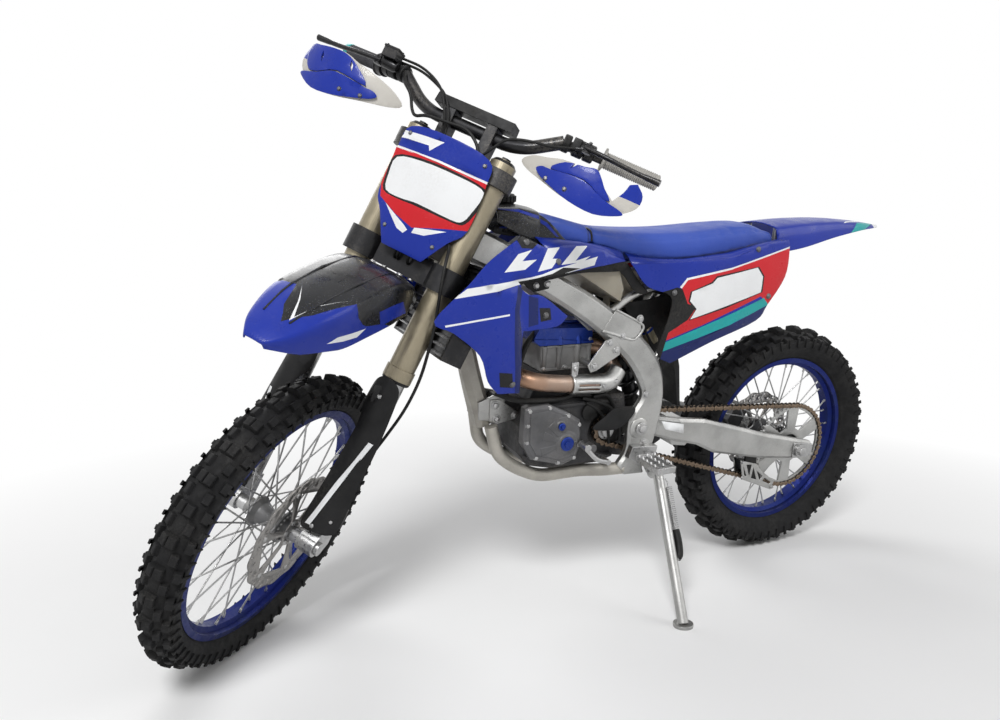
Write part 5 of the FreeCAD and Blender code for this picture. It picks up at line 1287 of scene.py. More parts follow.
def swollen(piece, voxel, cap):
    """Cloth under light pressure rounds a pad out, no point of it further than a cap."""
    even = piece.modifiers.new("even", "REMESH")
    even.mode = "VOXEL"
    even.voxel_size = voxel * MM
    baked(piece)
    before = [vertex.co.copy() for vertex in piece.data.vertices]
    cloth = piece.modifiers.new("cover", "CLOTH")
    cloth.settings.use_pressure = True
    cloth.settings.uniform_pressure_force = 4.0
    cloth.settings.effector_weights.gravity = 0
    for number in range(1, 21):
        bpy.context.scene.frame_set(number)
    baked(piece)
    for vertex, place in zip(piece.data.vertices, before):
        move = vertex.co - place
        if move.length > cap * MM:
            vertex.co = place + move.normalized() * (cap * MM)
    bpy.context.scene.frame_set(1)


def seat():
    """The padded seat: cloth over foam, a seam across its front and one along each side."""
    rings = []
    for x, half, top, low in smooth_route(SEAT):
        height = top - low - 10
        rings.append([Vector((x, share * (half - 3), low + 1 + rise * height))
                      for share, rise in SEAT_SECTION])
    piece = new_piece("seat_pad", *lofted(rings), "seat", "chassis")
    swollen(piece, 6, 5)
    finer = piece.modifiers.new("finer", "SUBSURF")
    finer.levels = 1
    finer.render_levels = 1
    baked(piece)
    to_bike = BIKE.inverted()
    normals = [vertex.normal.copy() for vertex in piece.data.vertices]
    for vertex, normal in zip(piece.data.vertices, normals):
        spot = to_bike @ vertex.co / MM
        half = between_rows(SEAT_ROWS, min(max(spot.x, SEAT_REAR), SEAT_FRONT))[1]
        across = abs(spot.x - SEAM_X - SEAM_SWEEP * abs(spot.y))
        aside = abs(abs(spot.y) - 0.8 * half) if 175 < spot.x < SEAM_X else 9
        notch = 7 * max(1 - across / 9, 0) ** 0.7
        channel = 2.4 * max(1 - aside / 5, 0) ** 0.7 if normal.z > 0.25 else 0
        vertex.co -= normal * (max(notch, channel) * MM)
    stands_for(piece, "seat")


def seat_notch_painted_shade():
    """A black tube laid in the notch across the seat's front: painted shade along the crease."""
    seam_half = between_rows(SEAT_ROWS, SEAM_X)[1]
    line = []
    for share, rise in ((-0.99, 0.3), *SEAT_CROWN, (0.99, 0.3)):
        x = SEAM_X + SEAM_SWEEP * abs(share) * seam_half
        _, half, top, low = between_rows(SEAT_ROWS, x)
        line.append((x, share * (half - 5), low + rise * (top - low - 11)))
    detail("seat_notch_painted_shade", [swept(smooth_route(line), 2.4, 10)], "black", "chassis", 0)


# Chain

CHAIN_PITCH = 15.875
CHAIN_ACROSS = 74
REAR_TEETH = 48
DRIVE_TEETH = 13


def chain_line():
    """The chain's pitch line about the rear sprocket and the drive sprocket, as in the solid."""
    rear = Vector((0, REAR_AXLE_UP))
    drive = Vector((645, 462))
    big = CHAIN_PITCH / (2 * math.sin(math.pi / REAR_TEETH))
    small = CHAIN_PITCH / (2 * math.sin(math.pi / DRIVE_TEETH))
    gap = drive - rear
    tilt = math.atan2(gap[1], gap[0])
    spread = math.asin((big - small) / gap.length)
    low_angle = tilt + spread - math.pi / 2
    high_angle = tilt - spread + math.pi / 2
    line = []
    for index in range(61):
        angle = high_angle + (TAU + low_angle - high_angle) * index / 60
        line.append(rear + Vector(polar(1, angle)) * big)
    for index in range(13):
        angle = low_angle + (math.pi / 2 - low_angle) * index / 12
        line.append(drive + Vector(polar(1, angle)) * small)
    line.append(Vector((490, 500)))
    return line


def evenly(line, pitch):
    """Points spaced evenly along a closed line, as near to the pitch as a whole number allows."""
    lengths = [(after - before).length for before, after in zip(line, line[1:] + line[:1])]
    total = sum(lengths)
    count = round(total / pitch / 2) * 2
    spaced = []
    index = 0
    passed = 0.0
    for step in range(count):
        target = total * step / count
        while passed + lengths[index] < target:
            passed += lengths[index]
            index += 1
        share = (target - passed) / lengths[index]
        spaced.append(line[index].lerp(line[(index + 1) % len(line)], share))
    return spaced


def link_plate(start, end, across, thick):
    """A waisted link plate between two pins."""
    along = (end - start).normalized()
    side = Vector((-along[1], along[0]))
    outline = []
    for centre, begin in ((end, -75), (start, 105)):
        for step in range(6):
            angle = math.radians(begin + 30 * step)
            outline.append(centre + along * (7 * math.cos(angle)) + side * (7 * math.sin(angle)))
        outline.append((start + end) / 2 + side * (3.6 if begin < 0 else -3.6))
    rings = [[Vector((point[0], place, point[1])) for point in outline]
             for place in (across - thick / 2, across + thick / 2)]
    return lofted(rings)


def chain():
    """Outer and inner links in turn, the inner plates and rollers darker as painted shade."""
    pins = evenly(chain_line(), CHAIN_PITCH)
    parts = []
    face_looks = []
    for index, (x, z) in enumerate(pins):
        after = pins[(index + 1) % len(pins)]
        inner = 1 - index % 2
        out = 5.0 if inner else 6.9
        plates = [link_plate(pins[index], after, CHAIN_ACROSS + side * out, 1.8) for side in (-1, 1)]
        rivet = cylinder((x, CHAIN_ACROSS - 7.8, z), (x, CHAIN_ACROSS + 7.8, z), 2.6, 8, 0.4)
        roller = cylinder((x, CHAIN_ACROSS - 4, z), (x, CHAIN_ACROSS + 4, z), 5.0, 10, 0.4)
        # Inner plates and rollers take the darker chain finish as painted shade.
        for part, in_painted_shade in ((plates[0], inner), (plates[1], inner), (rivet, 0), (roller, 1)):
            parts.append(part)
            face_looks.extend([in_painted_shade] * len(part[1]))
    piece = new_piece("drive_chain", *joined(parts), ("chain", "chain_oily"), "chassis",
                      face_looks=face_looks)
    sharp_by_angle(piece)
    stands_for(piece, "chain")


def chain_guide_plates():
    """Side plates of the chain guide, cut out in triangles."""
    outline = crisp([(190, 322), (174, 262), (60, 214), (50, 240), (96, 268), (128, 304)])
    holes = [crisp(points) for points in (
        [(178, 306), (169, 274), (160, 270)], [(166, 306), (150, 268), (146, 304)],
        [(138, 294), (142, 262), (120, 254)], [(124, 282), (108, 250), (98, 262)],
        [(90, 255), (96, 246), (66, 232), (62, 238)])]
    for name, across in (("outer", 89.4), ("inner", 58.6)):
        panel("chain_guide_plate_" + name, outline, lambda x, z: across, 2, "aluminium", "chassis",
              holes=holes, spacing=18)
    bolts = [bolt((x, 90.4, z), LEFT, 4.5, 3) for x, z in ((182, 316), (176, 268), (57, 222))]
    detail("chain_guide_bolts", bolts, "steel", "chassis", 0.3)


# Engine

COVER_FACE = 111.3
COVER_BOLTS = ((886, 548), (832, 551), (780, 526), (748, 500), (746, 448), (756, 416), (800, 408),
               (862, 428), (889, 470), (889, 512))
LOWER_PLUG = (782, 457)
UPPER_PLUG = (800, 503)
RIGHT_COVER = (806, 476)


def engine_bolts():
    bolts = [bolt((x, COVER_FACE - 4, z), LEFT, 5, 4) for x, z in COVER_BOLTS]
    for step in range(9):
        x, z = polar(74, TAU * step / 9 + 0.2)
        bolts.append(bolt((RIGHT_COVER[0] + x, -110.3, RIGHT_COVER[1] + z), -LEFT, 5, 4))
    bolts += side_bolts([(x, 58, z) for x, z in ((705, 701), (834, 701), (706, 634), (830, 634),
                                                 (770, 634))], 5, 4)
    detail("engine_bolts", bolts, "steel", "chassis", 0.3)


def left_cover():
    """The left cover's raised field with the seats of its two plugs."""
    outline = [(884, 543), (834, 546), (784, 521), (756, 500), (752, 450), (762, 424), (796, 415),
               (864, 436), (883, 468), (884, 510)]
    raised = [boss(*LOWER_PLUG, COVER_FACE, COVER_FACE + 5, 25, 22, 0.6),
              boss(*UPPER_PLUG, COVER_FACE, COVER_FACE + 4, 14, 12, 0.6, 30),
              slab(outline, COVER_FACE - 3, COVER_FACE + 1.6)]
    detail("left_cover_raised", raised, "cover_grey", "chassis", 1.2)


def cover_plugs():
    plugs = []
    for (x, z), radius in ((LOWER_PLUG, 18), (UPPER_PLUG, 9.5)):
        plugs.append(boss(x, z, COVER_FACE + 4, COVER_FACE + 9, radius, radius - 2, 0.7))
        plugs.append(lathe((x, COVER_FACE + 8.5, z), (x, COVER_FACE + 12, z),
                           ((0, radius * 0.55), (1, radius * 0.5)), 6))
    plugs.append(boss(*RIGHT_COVER, -110.5, -115, 20, 17, 0.7))
    detail("cover_plugs", plugs, "blue_anodised", "chassis", 0.5)


def engine_ribs():
    """Ribs along the crankcase, and the lips of the head cover."""
    ribs = side_slabs([(760, 392), (884, 420), (884, 428), (756, 400)], 83, 87)
    ribs += side_slabs([(620, 540), (846, 540), (846, 548), (620, 548)], 83, 88)
    detail("engine_ribs", ribs, "dark_cast", "chassis", 0.8)
    lips = [slab([(694, 690.6), (844, 690.6), (862, 704), (858, 709), (696, 697)], -64, 64),
            slab([(716, 735), (826, 740), (822, 748), (720, 744)], -40, 40)]
    detail("head_cover_lip", lips, "blue_anodised", "chassis", 1.5)


def engine_hoses():
    dark = [boss(706, 520, 84, 93, 22, 18, 0.7, 28),
            swept(rounded_route([(700, 88, 560), (660, 90, 566), (630, 84, 520), (612, 84, 470)]), 6, 10),
            swept(rounded_route([(846, 40, 720), (880, 60, 700), (905, 70, 640), (930, 64, 580)]), 7, 10)]
    detail("engine_hoses", dark, "hose", "chassis", 0)


def cover_shapes():
    """The left cover's raised ring about the lower plug and the facets that run from it."""
    middle_x, middle_z = LOWER_PLUG
    wide = math.radians(12)
    parts = [lathe((middle_x, 110, middle_z), (middle_x, 114.5, middle_z),
                   ((0, 34), (0.5, 33), (1, 29)), 40)]
    for turn in (-12, 22, 50, 78):
        corners = [polar(reach, math.radians(turn) + shift) for reach, shift in
                   ((30, -wide), (72, -wide * 0.8), (72, wide * 0.8), (30, wide))]
        parts.append(slab([(middle_x + x, middle_z + z) for x, z in corners], 109, 113.8))
    parts.append(cylinder((700, 80, 430), (700, 108, 430), 11, 24))
    detail("left_cover_shapes", parts, "cover_grey", "chassis", 1.6)


def cylinder_ribs():
    """Rounded ribs down the cylinder with the head cover's bosses above them."""
    ribs = []
    bosses = []
    for side in (-1, 1):
        for x, radius in ((704, 7), (737, 9), (788, 9), (828, 8)):
            shape = ((0, radius - 3), (0.1, radius), (0.5, radius - 1.5), (0.9, radius + 1),
                     (1, radius + 1))
            ribs.append(lathe((x, side * 55, 630), (x, side * 55, 689), shape, 20))
            shape = ((0, radius + 2), (0.6, radius + 1), (1, radius - 2))
            bosses.append(lathe((x, side * 56, 690), (x, side * 52, 716), shape, 20))
    for low, high, reach in ((684, 690, 62), (626.5, 634, 61)):
        ribs += side_slabs([(699, low), (837, low), (837, high), (699, high)], 56, reach)
    detail("cylinder_ribs", ribs, "cast", "chassis", 1.2)
    detail("head_bosses", bosses, "blue_anodised", "chassis", 0.8)


def engine_brackets():
    """The plates that tie the engine to the frame, over the short plates of the solid."""
    rear = crisp([(741, 650), (731, 632), (715, 636), (652, 671), (652, 690), (676, 714), (696, 708)])
    front = crisp([(956, 561), (931, 560), (873, 518), (876, 508), (934, 499), (956, 506)])
    plates = side_slabs(rear, 111.5, 116.5) + side_slabs(front, 34.5, 39.5)
    plates += [cylinder((724, side * 56, 647), (724, side * 112, 647), 8, 14) for side in (-1, 1)]
    detail("engine_bracket_plates", plates, "aluminium", "chassis", 0.8)
    bolts = side_bolts([(x, 116.5, z) for x, z in ((685, 702), (664, 683), (724, 647))], 6.5, 6, hexagon)
    bolts += side_bolts([(x, 39.5, z) for x, z in ((943, 547), (938, 512), (888, 516))], 7, 6, hexagon)
    detail("engine_bracket_bolts", bolts, "steel", "chassis", 0.4)


# Header, muffler and hoses

SHIELD_COLUMNS = 14
SHIELD_SLOTS = (6, 8)


def heat_shield():
    """A half tube round the outer side of the header, with two long slots."""
    route = smooth_route([(776, 97, 601), (735, 97, 599), (695, 96, 596), (668, 94, 598),
                          (648, 89, 608), (634, 82, 622)])
    vertices = []
    for spot, along in zip(route, ways(route)):
        out = (LEFT - along * along.y).normalized()
        up = along.cross(out)
        for column in range(SHIELD_COLUMNS + 1):
            angle = math.radians(-100 + 200 * column / SHIELD_COLUMNS)
            vertices.append(spot + (out * math.cos(angle) + up * math.sin(angle)) * 24)
    faces = []
    for index in range(len(route) - 1):
        slotted = 708 < route[index].x < 766
        for column in range(SHIELD_COLUMNS):
            if not (slotted and column in SHIELD_SLOTS):
                at = index * (SHIELD_COLUMNS + 1) + column
                faces.append((at, at + 1, at + SHIELD_COLUMNS + 2, at + SHIELD_COLUMNS + 1))
    walled(new_piece("header_heat_shield", vertices, faces, "aluminium", "chassis"), 1.8)
    bolts = [bolt(place, LEFT, 4.5, 3) for place in ((692, 120, 596), (655, 115, 604))]
    detail("heat_shield_bolts", bolts, "steel", "chassis", 0.3)
    clamp = [band((772, 96, 601), (760, 96, 600), 22.5, 24.5, 32, 0.2),
             cylinder((766, 100, 622), (766, 100, 650), 5, 12), bolt((766, 104, 640), LEFT, 5, 4),
             slab([(758, 618), (774, 618), (776, 656), (756, 656)], 96, 102)]
    detail("header_clamp", clamp, "steel", "chassis", 0.5)


def muffler_details():
    """The end cap with its bolts, the outlet and two bands."""
    start = Vector((100, -142, 828))
    end = Vector((62, -143.3, 835.5))
    cap = lathe(start, end, ((0, 46.5), (0.15, 47.5), (0.5, 44), (0.85, 34), (1, 30)), 40)
    detail("muffler_cap", [cap], "black", "chassis", 0.6)
    run = Vector((-150, -4, 28))
    bands = []
    for share in (0.05, 0.86):
        spot = Vector((250, -138, 800)) + run * share
        reach = 50.6 - 4 * share
        shape = ((0, reach), (0.1, reach + 1), (0.9, reach + 0.6), (1, reach - 0.4))
        bands.append(lathe(spot, spot + run.normalized() * 16, shape, 40))
    bands.append(lathe((64, -143.2, 835), (52, -143.6, 837.4), ((0, 17), (1, 16)), 28))
    for turn in range(0, 360, 60):
        y, z = polar(1, math.radians(turn))
        bands.append(bolt(start + Vector((4, 45 * y, 45 * z)), (0, y, z), 3, 2))
    detail("muffler_bands", bands, "steel", "chassis", 0.3)


def loom():
    """Hoses and wires along the engine and the frame."""
    routes = (
        (((960, 70, 589), (911, 88, 572), (850, 92, 566), (790, 90, 566), (750, 86, 572),
          (700, 80, 560)), 7),
        (((731, 88, 560), (690, 92, 548), (640, 88, 520), (610, 84, 470), (604, 80, 430)), 5),
        (((720, 90, 548), (680, 92, 520), (650, 88, 480), (640, 86, 430)), 4),
        (((880, -62, 600), (900, -70, 660), (930, -74, 740), (980, -70, 790)), 9),
        (((880, 52, 610), (905, 60, 660), (935, 70, 740), (985, 70, 800)), 9),
        (((690, 60, 560), (650, 64, 590), (606, 60, 640), (590, 58, 700), (570, 60, 760)), 8),
    )
    parts = [swept(smooth_route(points), radius, 10) for points, radius in routes]
    detail("engine_loom", parts, "hose", "chassis", 0)


# Frame, air box and stand

def frame_covers():
    """The black guard ahead of the pivot and the dark strip along the seat's edge."""
    guard = smooth_loop([(714, 488), (679, 518), (649, 537), (597, 532), (601, 509), (643, 480)], 4)
    panel("frame_guard", guard, lambda x, z: 119, 3, "black", "chassis", spacing=16)
    strip = smooth_loop([(873, 871), (784, 886), (688, 896), (649, 886, 1), (674, 874), (783, 872),
                         (868, 858)], 4)
    panel("seat_edge_strip", strip, lambda x, z: 112 - 0.001 * (z - 860) ** 2, 4, "black", "chassis",
          spacing=16)


def frame_bolts():
    heads = []
    for side in (-1, 1):
        for x, y, z, radius, height in ((567, 119, 472, 11, 9), (646, 112, 716, 6, 6),
                                        (600, 112, 756, 7, 6), (560, 112, 560, 6, 6),
                                        (552, 112, 434, 6, 6), (0, 125.5, 340, 13, 9)):
            heads.append(hexagon((x, side * y, z), (0, side, 0), radius, height))
        heads.append(cylinder((-40, side * 103, 336), (-64, side * 103, 333), 5, 12))
        heads.append(lathe((-50, side * 103, 335), (-58, side * 103, 334), ((0, 8), (1, 8)), 6))
    detail("frame_bolts", heads, "steel", "chassis", 0.4)


def axle_blocks():
    """The blocks that set the rear axle in the swingarm, and the arm's blank label."""
    plate = [(24, 364), (-30, 359), (-46, 350), (-46, 322), (-30, 316), (24, 318)]
    blocks = [slab(plate, -119.2, -116.2), slab(plate, 116.2, 119.2)]
    blocks += side_slabs([(-44, 355), (-52, 352), (-52, 320), (-44, 317)], 90.5, 118)
    detail("axle_blocks", blocks, "steel", "chassis", 0.8)
    label = crisp([(504, 484), (431, 468), (429, 442), (490, 460)])
    panel("swingarm_label", label, lambda x, z: 116.6, 0.8, "white", "chassis", spacing=20, edge=0)


def beam_details():
    """The raised field on each beam with its rim, and the bosses about the pivot."""
    rim = ((706, 732), (660, 718), (623, 706), (605, 708), (589, 728), (592, 742), (630, 762),
           (672, 782))
    steps = [swept(smooth_route([(x, side * 112, z) for x, z in rim]), 3.4, 10) for side in (-1, 1)]
    field = [(704, 734), (660, 721), (623, 709), (607, 711), (593, 729), (596, 741), (632, 760),
             (674, 779)]
    detail("beam_steps", steps + side_slabs(field, 108, 113.4), "aluminium", "chassis", 0.8)
    bosses = []
    for side in (-1, 1):
        bosses.append(boss(571, 472, side * 111, side * 116, 27, 23))
        bosses.append(boss(548, 424, side * 111, side * 114, 15, 12, 0.5, 30))
    detail("beam_bosses", bosses, "aluminium", "chassis", 0.6)


def beam_plates():
    """The black plates that hold the beams' front ends, and the dark wall behind the cylinder."""
    plates = side_slabs([(934, 865), (882, 863), (858, 857), (862, 840), (899, 833), (918, 844)],
                        112, 118)
    wall = [(698, 688), (640, 700), (592, 690), (590, 600), (620, 540), (690, 520), (700, 600)]
    plates += [slab(wall, -14, -9), slab(wall, 0, 5)]
    detail("beam_plates", plates, "black", "chassis", 1)
    detail("beam_plate_bolts", side_bolts(((868, 118, 851), (895, 118, 848)), 6, 4), "steel", "chassis",
           0.3)


def air_box():
    """Black boxes and covers that fill the middle of the bike behind the frame."""
    rear = box(Vector(), ((322, -50), (470, -54), (470, 54), (322, 50)), (790, 800, 852, 858))
    detail("rear_box", [rear], "black", "chassis", 8)
    outline = smooth_loop([(622, 788, 1), (560, 792), (526, 797), (488, 812, 1), (462, 770), (498, 690),
                           (470, 640, 1), (495, 622, 1), (520, 660), (548, 710), (600, 752)], 3)
    panel_pair("inner_cover", outline, lambda x, z: 66, 3, "black", spacing=16)
    can = lathe((539, 52, 722), (508, 52, 678),
                ((0, 8), (0.08, 17), (0.15, 18), (0.85, 18), (0.94, 17), (1, 9)), 28)
    detail("shock_reservoir", [can], "gold", "chassis", 0)
    ring = lathe((535, 52, 716), (531, 52, 711), ((0, 18.8), (1, 18.8)), 28)
    arm = cylinder((526, 30, 706), (526, 52, 704), 8, 14)
    detail("reservoir_band", [ring, arm], "blue_anodised", "chassis", 0)


def stand_details():
    """The long return spring behind the leg, and the hose that covers its lower hook."""
    foot = BIKE @ (Vector((568, 359, 47)) * MM)
    foot.z = 0
    foot = BIKE.inverted() @ foot / MM
    top = Vector((520, 140, 360))
    along = (foot - top).normalized()
    side = across_frame(along)[0]
    aside = side if side.x < 0 else -side
    other = along.cross(aside)
    start = top + along * 44 + aside * 23
    coil = []
    for step in range(265):
        wide, high = polar(7.5, TAU * step / 12)
        coil.append(start + along * (step / 264 * 112) + aside * wide + other * high)
    hook = [start - along * 22 - aside * 6, start - along * 12, start + along * 2]
    detail("stand_spring", [swept(coil, 1.5, 6), swept(hook, 1.8, 6)], "steel", "side_stand", 0)
    sleeve = [start + along * 108, start + along * 140 + aside * 2, start + along * 168 - aside,
              start + along * 178 - aside * 9]
    detail("stand_rubber", [swept(smooth_route(sleeve), 9.5)], "hose", "side_stand", 0)
    lug = cylinder(top + along * 218, top + along * 222 + aside * 20, 6, 14)
    detail("stand_lug", [lug], "steel", "side_stand", 0)


# Controls

BAR_TURN = Vector((16.5, 200, 1000.6))
BAR_END = Vector((-51, 400, 1016))
BAR_ALONG = (BAR_END - BAR_TURN).normalized()
GRIP_START = BAR_END - BAR_ALONG * 124
PERCH = GRIP_START - BAR_ALONG * 30
KNUCKLE = PERCH + Vector((44, 6, -4))
RESERVOIR = KNUCKLE + Vector((-10, -46, 9))


def grips():
    profile = [(0, 11.6), (0.002, 25), (0.03, 25), (0.045, 18)]
    ribs = 26
    for index in range(ribs):
        share = 0.07 + 0.88 * index / ribs
        profile += [(share, 15.9), (share + 0.008, 17.4), (share + 0.02, 17.4), (share + 0.027, 15.9)]
    profile += [(0.965, 17), (0.985, 17.5), (1, 15)]
    left = lathe(GRIP_START, GRIP_START + BAR_ALONG * 128, profile, 28)
    for name, grip, look in (("left", left, "grip_grey"), ("right", mirrored_mesh(*left), "grip_dark")):
        stands_for(detail("grip_" + name, [grip], look, "steering", 0, 60), "grips")
    end = lathe(GRIP_START + BAR_ALONG * 112, GRIP_START + BAR_ALONG * 128.4,
                ((0, 17.6), (0.2, 18.1), (0.8, 18.1), (1, 16)), 28)
    detail("grip_end", [mirrored_mesh(*end)], "teal", "steering", 0)


def flat_lever(route, wide, thick):
    """A lever blade: an oval bar along a route that ends in a ball."""
    rings = []
    for index, (point, along) in enumerate(zip(route, ways(route))):
        side = along.cross(UP).normalized()
        up = side.cross(along)
        grow = 1 + 0.35 * max(0, (index / (len(route) - 1) - 0.9) / 0.1)
        ring = []
        for step in range(14):
            angle = TAU * step / 14
            ring.append(point + side * (thick * grow * math.cos(angle))
                        + up * (wide * grow * math.sin(angle)))
        rings.append(ring)
    return lofted(rings)


def hand_levers():
    """The blades of the clutch lever on the left and the brake lever on the right."""
    route = rounded_route([KNUCKLE + Vector(step) for step in ((4, -6, 0), (10, 50, -4), (0, 110, -6),
                                                               (-2, 165, -6))])
    blade = flat_lever(route, 5.2, 6.4)
    detail("lever_blades", [blade, mirrored_mesh(*blade)], "black_metal", "steering", 0)


def brake_cylinder():
    """The brake's cylinder and the throttle's housing, as they would be on the left side."""
    parts = [lathe(KNUCKLE + Vector((-2, -8, 2)), KNUCKLE + Vector((-2, -48, 0)),
                   ((0, 11), (0.1, 12.5), (0.8, 12.5), (1, 9)), 20),
             box(RESERVOIR, ((0, 0), (32, 0), (32, 36), (0, 36)), (0, 18, 22)),
             band(GRIP_START - BAR_ALONG * 20, GRIP_START - BAR_ALONG, 20, 23, 28)]
    for cable in (0, 1):
        begin = GRIP_START - BAR_ALONG * 11 + Vector((10 - 4 * cable, 0, 12 + 4 * cable))
        parts.append(cylinder(begin, begin + Vector((14, -8, 6 + 3 * cable)), 5, 12))
    return parts


def control_perches():
    """A perch for each lever, with the clutch's adjuster and the brake's cylinder."""
    both = [band(PERCH - BAR_ALONG * 11, PERCH + BAR_ALONG * 11, 17, 19, 24),
            lathe(PERCH + Vector((12, 0, 0)), KNUCKLE + Vector((8, 2, 0)), ((0, 9), (0.7, 8), (1, 9)), 14),
            bolt(KNUCKLE + UP * 10, UP, 4, 4)]
    both += [cylinder(KNUCKLE + UP * low, KNUCKLE + UP * (low + 4), 10, 20) for low in (6, -10)]
    adjuster = [cylinder(PERCH + Vector((30, 0, -3)), PERCH + Vector((32, -22, -10)), 5, 14),
                lathe(PERCH + Vector((30.6, -6, -5)), PERCH + Vector((31, -11, -6.5)),
                      ((0, 8), (1, 8)), 16)]
    parts = both + adjuster + [mirrored_mesh(*part) for part in both + brake_cylinder()]
    stands_for(detail("control_perches", parts, "black_metal", "steering", 0.8), "hand_levers")
    lid = [box(RESERVOIR, ((-1, -1), (33, -1), (33, 37), (-1, 37)), (20, 25))]
    lid += [bolt(RESERVOIR + Vector((x, y, 25)), UP, 2.6, 2) for x, y in ((4, 4), (28, 32))]
    detail("reservoir_lid", [mirrored_mesh(*part) for part in lid], "black", "steering", 0.8)


def bar_switches():
    """Two clamps inboard of each perch, and a switch block on the left."""
    clamps = []
    for spot, gap in ((66, 24), (90, 16)):
        start = GRIP_START - BAR_ALONG * spot
        part = band(start, start + BAR_ALONG * gap, 17, 19, 20)
        clamps += [part, mirrored_mesh(*part)]
    clamps.append(box(GRIP_START - BAR_ALONG * 58, ((-14, -8), (20, -8), (20, 10), (-14, 10)), (-16, 16)))
    detail("bar_switches", clamps, "black", "steering", 1.5)


# Fork, bolts on the panels and the front calliper

GUARD_PLATE = ((74, 325), (75, 372), (88, 391), (102, 395), (120, 391), (134, 377), (140, 333),
               (146, 238), (148, 157), (152, 61), (144, 43), (121, 37), (81, 34), (76, 60), (81, 142),
               (88, 260), (84, 300))
GUARD_STRIPE = ((137, 254), (128, 255), (88, 44), (100, 46))
GUARD_SHINE = ((79, 330), (81, 366), (100, 374), (101, 334))
FORK_AHEAD = 24
FORK_SIDE = 105


def fork_details():
    dark = []
    bright = []
    for side in (-1, 1):
        centre = Vector((FORK_AHEAD, side * FORK_SIDE, 0))
        dark.append(lathe(centre + UP * 388, centre + UP * 402,
                          ((0, 29), (0.2, 31.5), (0.8, 31.5), (1, 29.6)), 36))
        bright.append(lathe(centre + UP * 902, centre + UP * 912, ((0, 27), (0.5, 27), (1, 23)), 36))
        bright.append(lathe(centre + UP * 912, centre + UP * 919, ((0, 12), (1, 11)), 6))
        for height in (862, 876, 612, 628, 643):
            bright.append(bolt(centre + Vector((-41, side * -10, height)), (-1, 0, 0), 5, 4))
    detail("fork_seals", dark, "black", "steering", 0)
    detail("fork_caps", bright, "black_metal", "steering", 0.4)


def fork_guards():
    def reach(across, up):
        radius = 58 - 18 * min(max((up - 37) / 335, 0), 1)
        return FORK_AHEAD + math.sqrt(max(radius**2 - (abs(across) - FORK_SIDE) ** 2, 100))

    for name, side in SIDES:
        turn = list if side > 0 else flipped
        zones = [(crisp(turn(GUARD_STRIPE)), "white"), (crisp(turn(GUARD_SHINE)), "black_gloss")]
        piece = front_panel("fork_guard_" + name, smooth_loop(turn(GUARD_PLATE), 3), reach, "black",
                            zones, spacing=10)
        stands_for(piece, "fork_guards")


def fork_guard_bolts():
    feet = []
    for side in (-1, 1):
        across = side * FORK_SIDE
        feet.append(cylinder((32, across, 46), (80, across, 46), 5, 14))
        feet.append(cylinder((FORK_AHEAD, across, 351), (66, across, 351), 5, 14))
        feet.append(bolt((80, across, 46), (1, 0, 0), 5, 3))
        feet.append(bolt((67, across, 351), (1, 0, 0), 4, 3))
        feet.append(bolt((70, side * 134, 70), (0.8, side * 0.6, 0), 4, 3))
    detail("fork_guard_bolts", feet, "steel", "steering", 0.3)


def panel_bolts():
    spots = [(x, shroud_height(x, z) + 1.4, z) for x, z in ((884, 787), (944, 949), (860, 905), (960, 635))]
    spots += [(x, side_height(x, z) + 1.4, z) for x, z in ((265, 922), (520, 821))]
    heads = side_bolts(spots, 6, 3)
    heads.append(bolt((211, side_height(211, 800) + 1.4, 800), LEFT, 6, 3))
    detail("panel_bolts", heads, "dark_bolt", "chassis", 0.3)
    spots = [(guard_height(across, up) + 8.4, side * across, up)
             for across, up in ((227, 900), (274, 894)) for side in (-1, 1)]
    spots += [(plate_height(across, up) + 1.4, across, up)
              for across, up in ((-92, 876), (92, 876), (-60, 680), (60, 680))]
    detail("front_bolts", [bolt(spot, (1, 0, 0), 4, 2.5) for spot in spots], "dark_bolt", "steering", 0.3)


def callipers():
    """Piston bodies on the front calliper."""
    tilt = math.radians(-69)
    reach = FRONT_DISC - 14
    middle = Vector((FORK_OFFSET + reach * math.sin(tilt), FRONT_DISC_ACROSS, reach * math.cos(tilt)))
    parts = []
    for shift in (-15, 15):
        spot = middle + Vector((shift * math.cos(tilt), 0, -shift * math.sin(tilt)))
        parts.append(lathe(spot + LEFT * 18, spot + LEFT * 26, ((0, 14), (0.7, 14), (1, 11))))
    detail("front_calliper_pistons", parts, "dark_cast", "steering", 0.5)


# Floor, light and camera

def floor():
    """A pale floor that keeps the bike's shadow and runs out into plain white."""
    mesh = bpy.data.meshes.new("floor")
    reach = 30
    mesh.from_pydata([(-reach, -reach, 0), (reach, -reach, 0), (reach, reach, 0), (-reach, reach, 0)], [],
                     [(0, 1, 2, 3)])
    paint = Paint("floor", (0.9, 0.9, 0.9), 0.9)
    paint.stain(3.0, 3.0, 0.3, 0.7, 0.3, (0.93, 0.93, 0.93))
    mesh.materials.append(paint.done())
    distance = paint.node("VectorMath", {0: paint.place}, operation="LENGTH").outputs["Value"]
    share = paint.times(paint.between(distance, 1.0, 2.4), seen_directly(paint.tree))
    glow = paint.node("Emission", {"Color": (1, 1, 1, 1), "Strength": 1.0})
    mixed = paint.node("MixShader", {0: share, 1: paint.shader.outputs[0], 2: glow.outputs[0]})
    paint.tree.links.new(mixed.outputs[0], paint.tree.nodes["Material Output"].inputs["Surface"])
    ground = bpy.data.objects.new("floor", mesh)
    bpy.context.scene.collection.objects.link(ground)


def seen_directly(tree):
    """1 for rays from the camera and for mirrored or refracted ones, or else 0."""
    rays = new_node(tree, "LightPath").outputs
    seen = rays["Is Camera Ray"]
    for kind in ("Is Glossy Ray", "Is Transmission Ray"):
        seen = new_node(tree, "Math", {0: seen, 1: rays[kind]}, operation="MAXIMUM").outputs[0]
    return seen


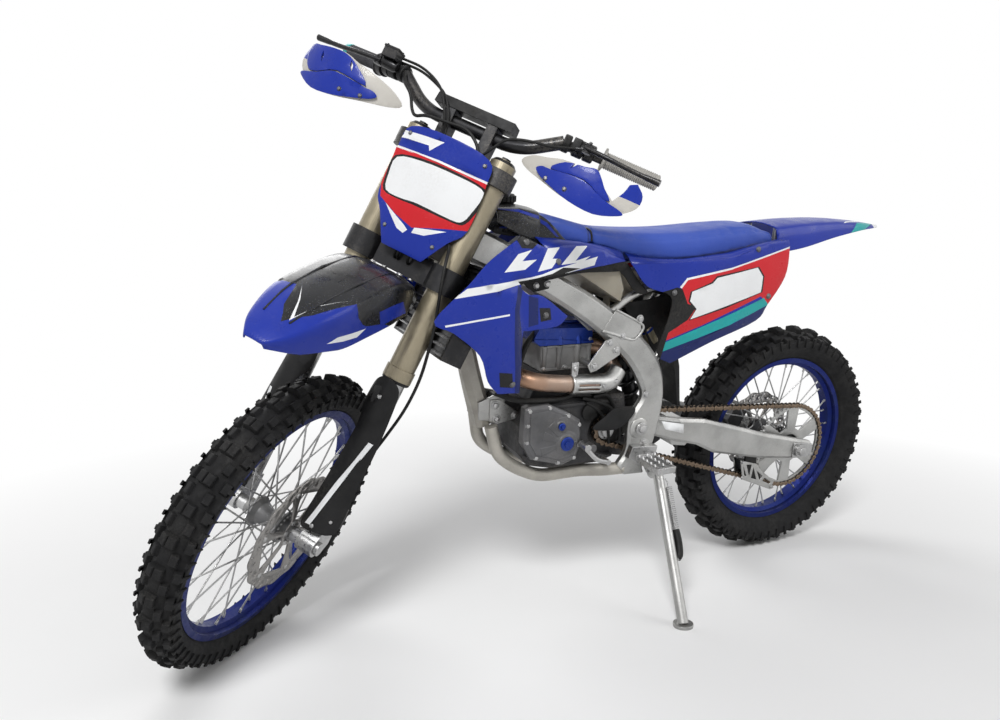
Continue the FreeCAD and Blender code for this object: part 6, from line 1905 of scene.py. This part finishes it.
def lamp(name, place, target, power, spread):
    data = bpy.data.lights.new(name, "AREA")
    data.energy = power
    data.shape = "DISK"
    data.size = spread
    lamp_object = bpy.data.objects.new(name, data)
    lamp_object.location = place
    lamp_object.rotation_euler = (Vector(target) - Vector(place)).to_track_quat("-Z", "Y").to_euler()
    bpy.context.scene.collection.objects.link(lamp_object)


def world_light(strength):
    """An even grey light, under a sky that the camera sees as white."""
    world = bpy.data.worlds.new("sky")
    world.use_nodes = True
    tree = world.node_tree
    tree.nodes.clear()
    light = new_node(tree, "Background", {"Strength": strength})
    shown = new_node(tree, "Background", {"Strength": 1.0, "Color": (1, 1, 1, 1)})
    choice = new_node(tree, "MixShader", {0: seen_directly(tree), 1: light.outputs[0],
                                          2: shown.outputs[0]})
    new_node(tree, "OutputWorld", {0: choice.outputs[0]})
    bpy.context.scene.world = world


CAMERA_PLACE = (1.0383, 1.6394, 0.9101)
CAMERA_YAW = math.radians(-115.88)
CAMERA_PITCH = math.radians(-8.37)
CAMERA_LENS = 28.52


def camera():
    data = bpy.data.cameras.new("camera")
    data.lens = CAMERA_LENS
    data.sensor_width = 36
    data.clip_start = 0.05
    eye = bpy.data.objects.new("camera", data)
    eye.location = CAMERA_PLACE
    level = math.cos(CAMERA_PITCH)
    looking = Vector((level * math.cos(CAMERA_YAW), level * math.sin(CAMERA_YAW), math.sin(CAMERA_PITCH)))
    eye.rotation_euler = looking.to_track_quat("-Z", "Y").to_euler()
    bpy.context.scene.collection.objects.link(eye)
    bpy.context.scene.camera = eye


BUILDERS = (
    dress_nodes, wheels, shrouds, side_panels, number_plate, handguards, front_fender,
    fender_details, rear_fender, tank_cover, filler_cap, tank_cover_wings, closing_strips, seat,
    seat_notch_painted_shade, knee_fillers, chain, engine_bolts, left_cover, cover_plugs, engine_ribs,
    engine_hoses, cylinder_ribs, cover_shapes, engine_brackets, heat_shield, frame_covers,
    frame_bolts, axle_blocks, chain_guide_plates, air_box, muffler_details, beam_details,
    beam_plates, loom, stand_details, grips, hand_levers, control_perches, bar_switches,
    fork_details, fork_guards, fork_guard_bolts, panel_bolts, callipers, floor,
)
for build in BUILDERS:
    build()
lamp("key", (2.2, 2.6, 3.6), (0, 0, 0.5), 140, 1.4)
lamp("fill", (-3.0, 2.2, 2.4), (0, 0, 0.5), 38, 2.5)
lamp("back", (0.5, -3.2, 3.0), (0, 0, 0.5), 55, 2.5)
world_light(0.34)
camera()
bpy.context.scene.view_settings.view_transform = "Standard"
bpy.context.view_layer.update()
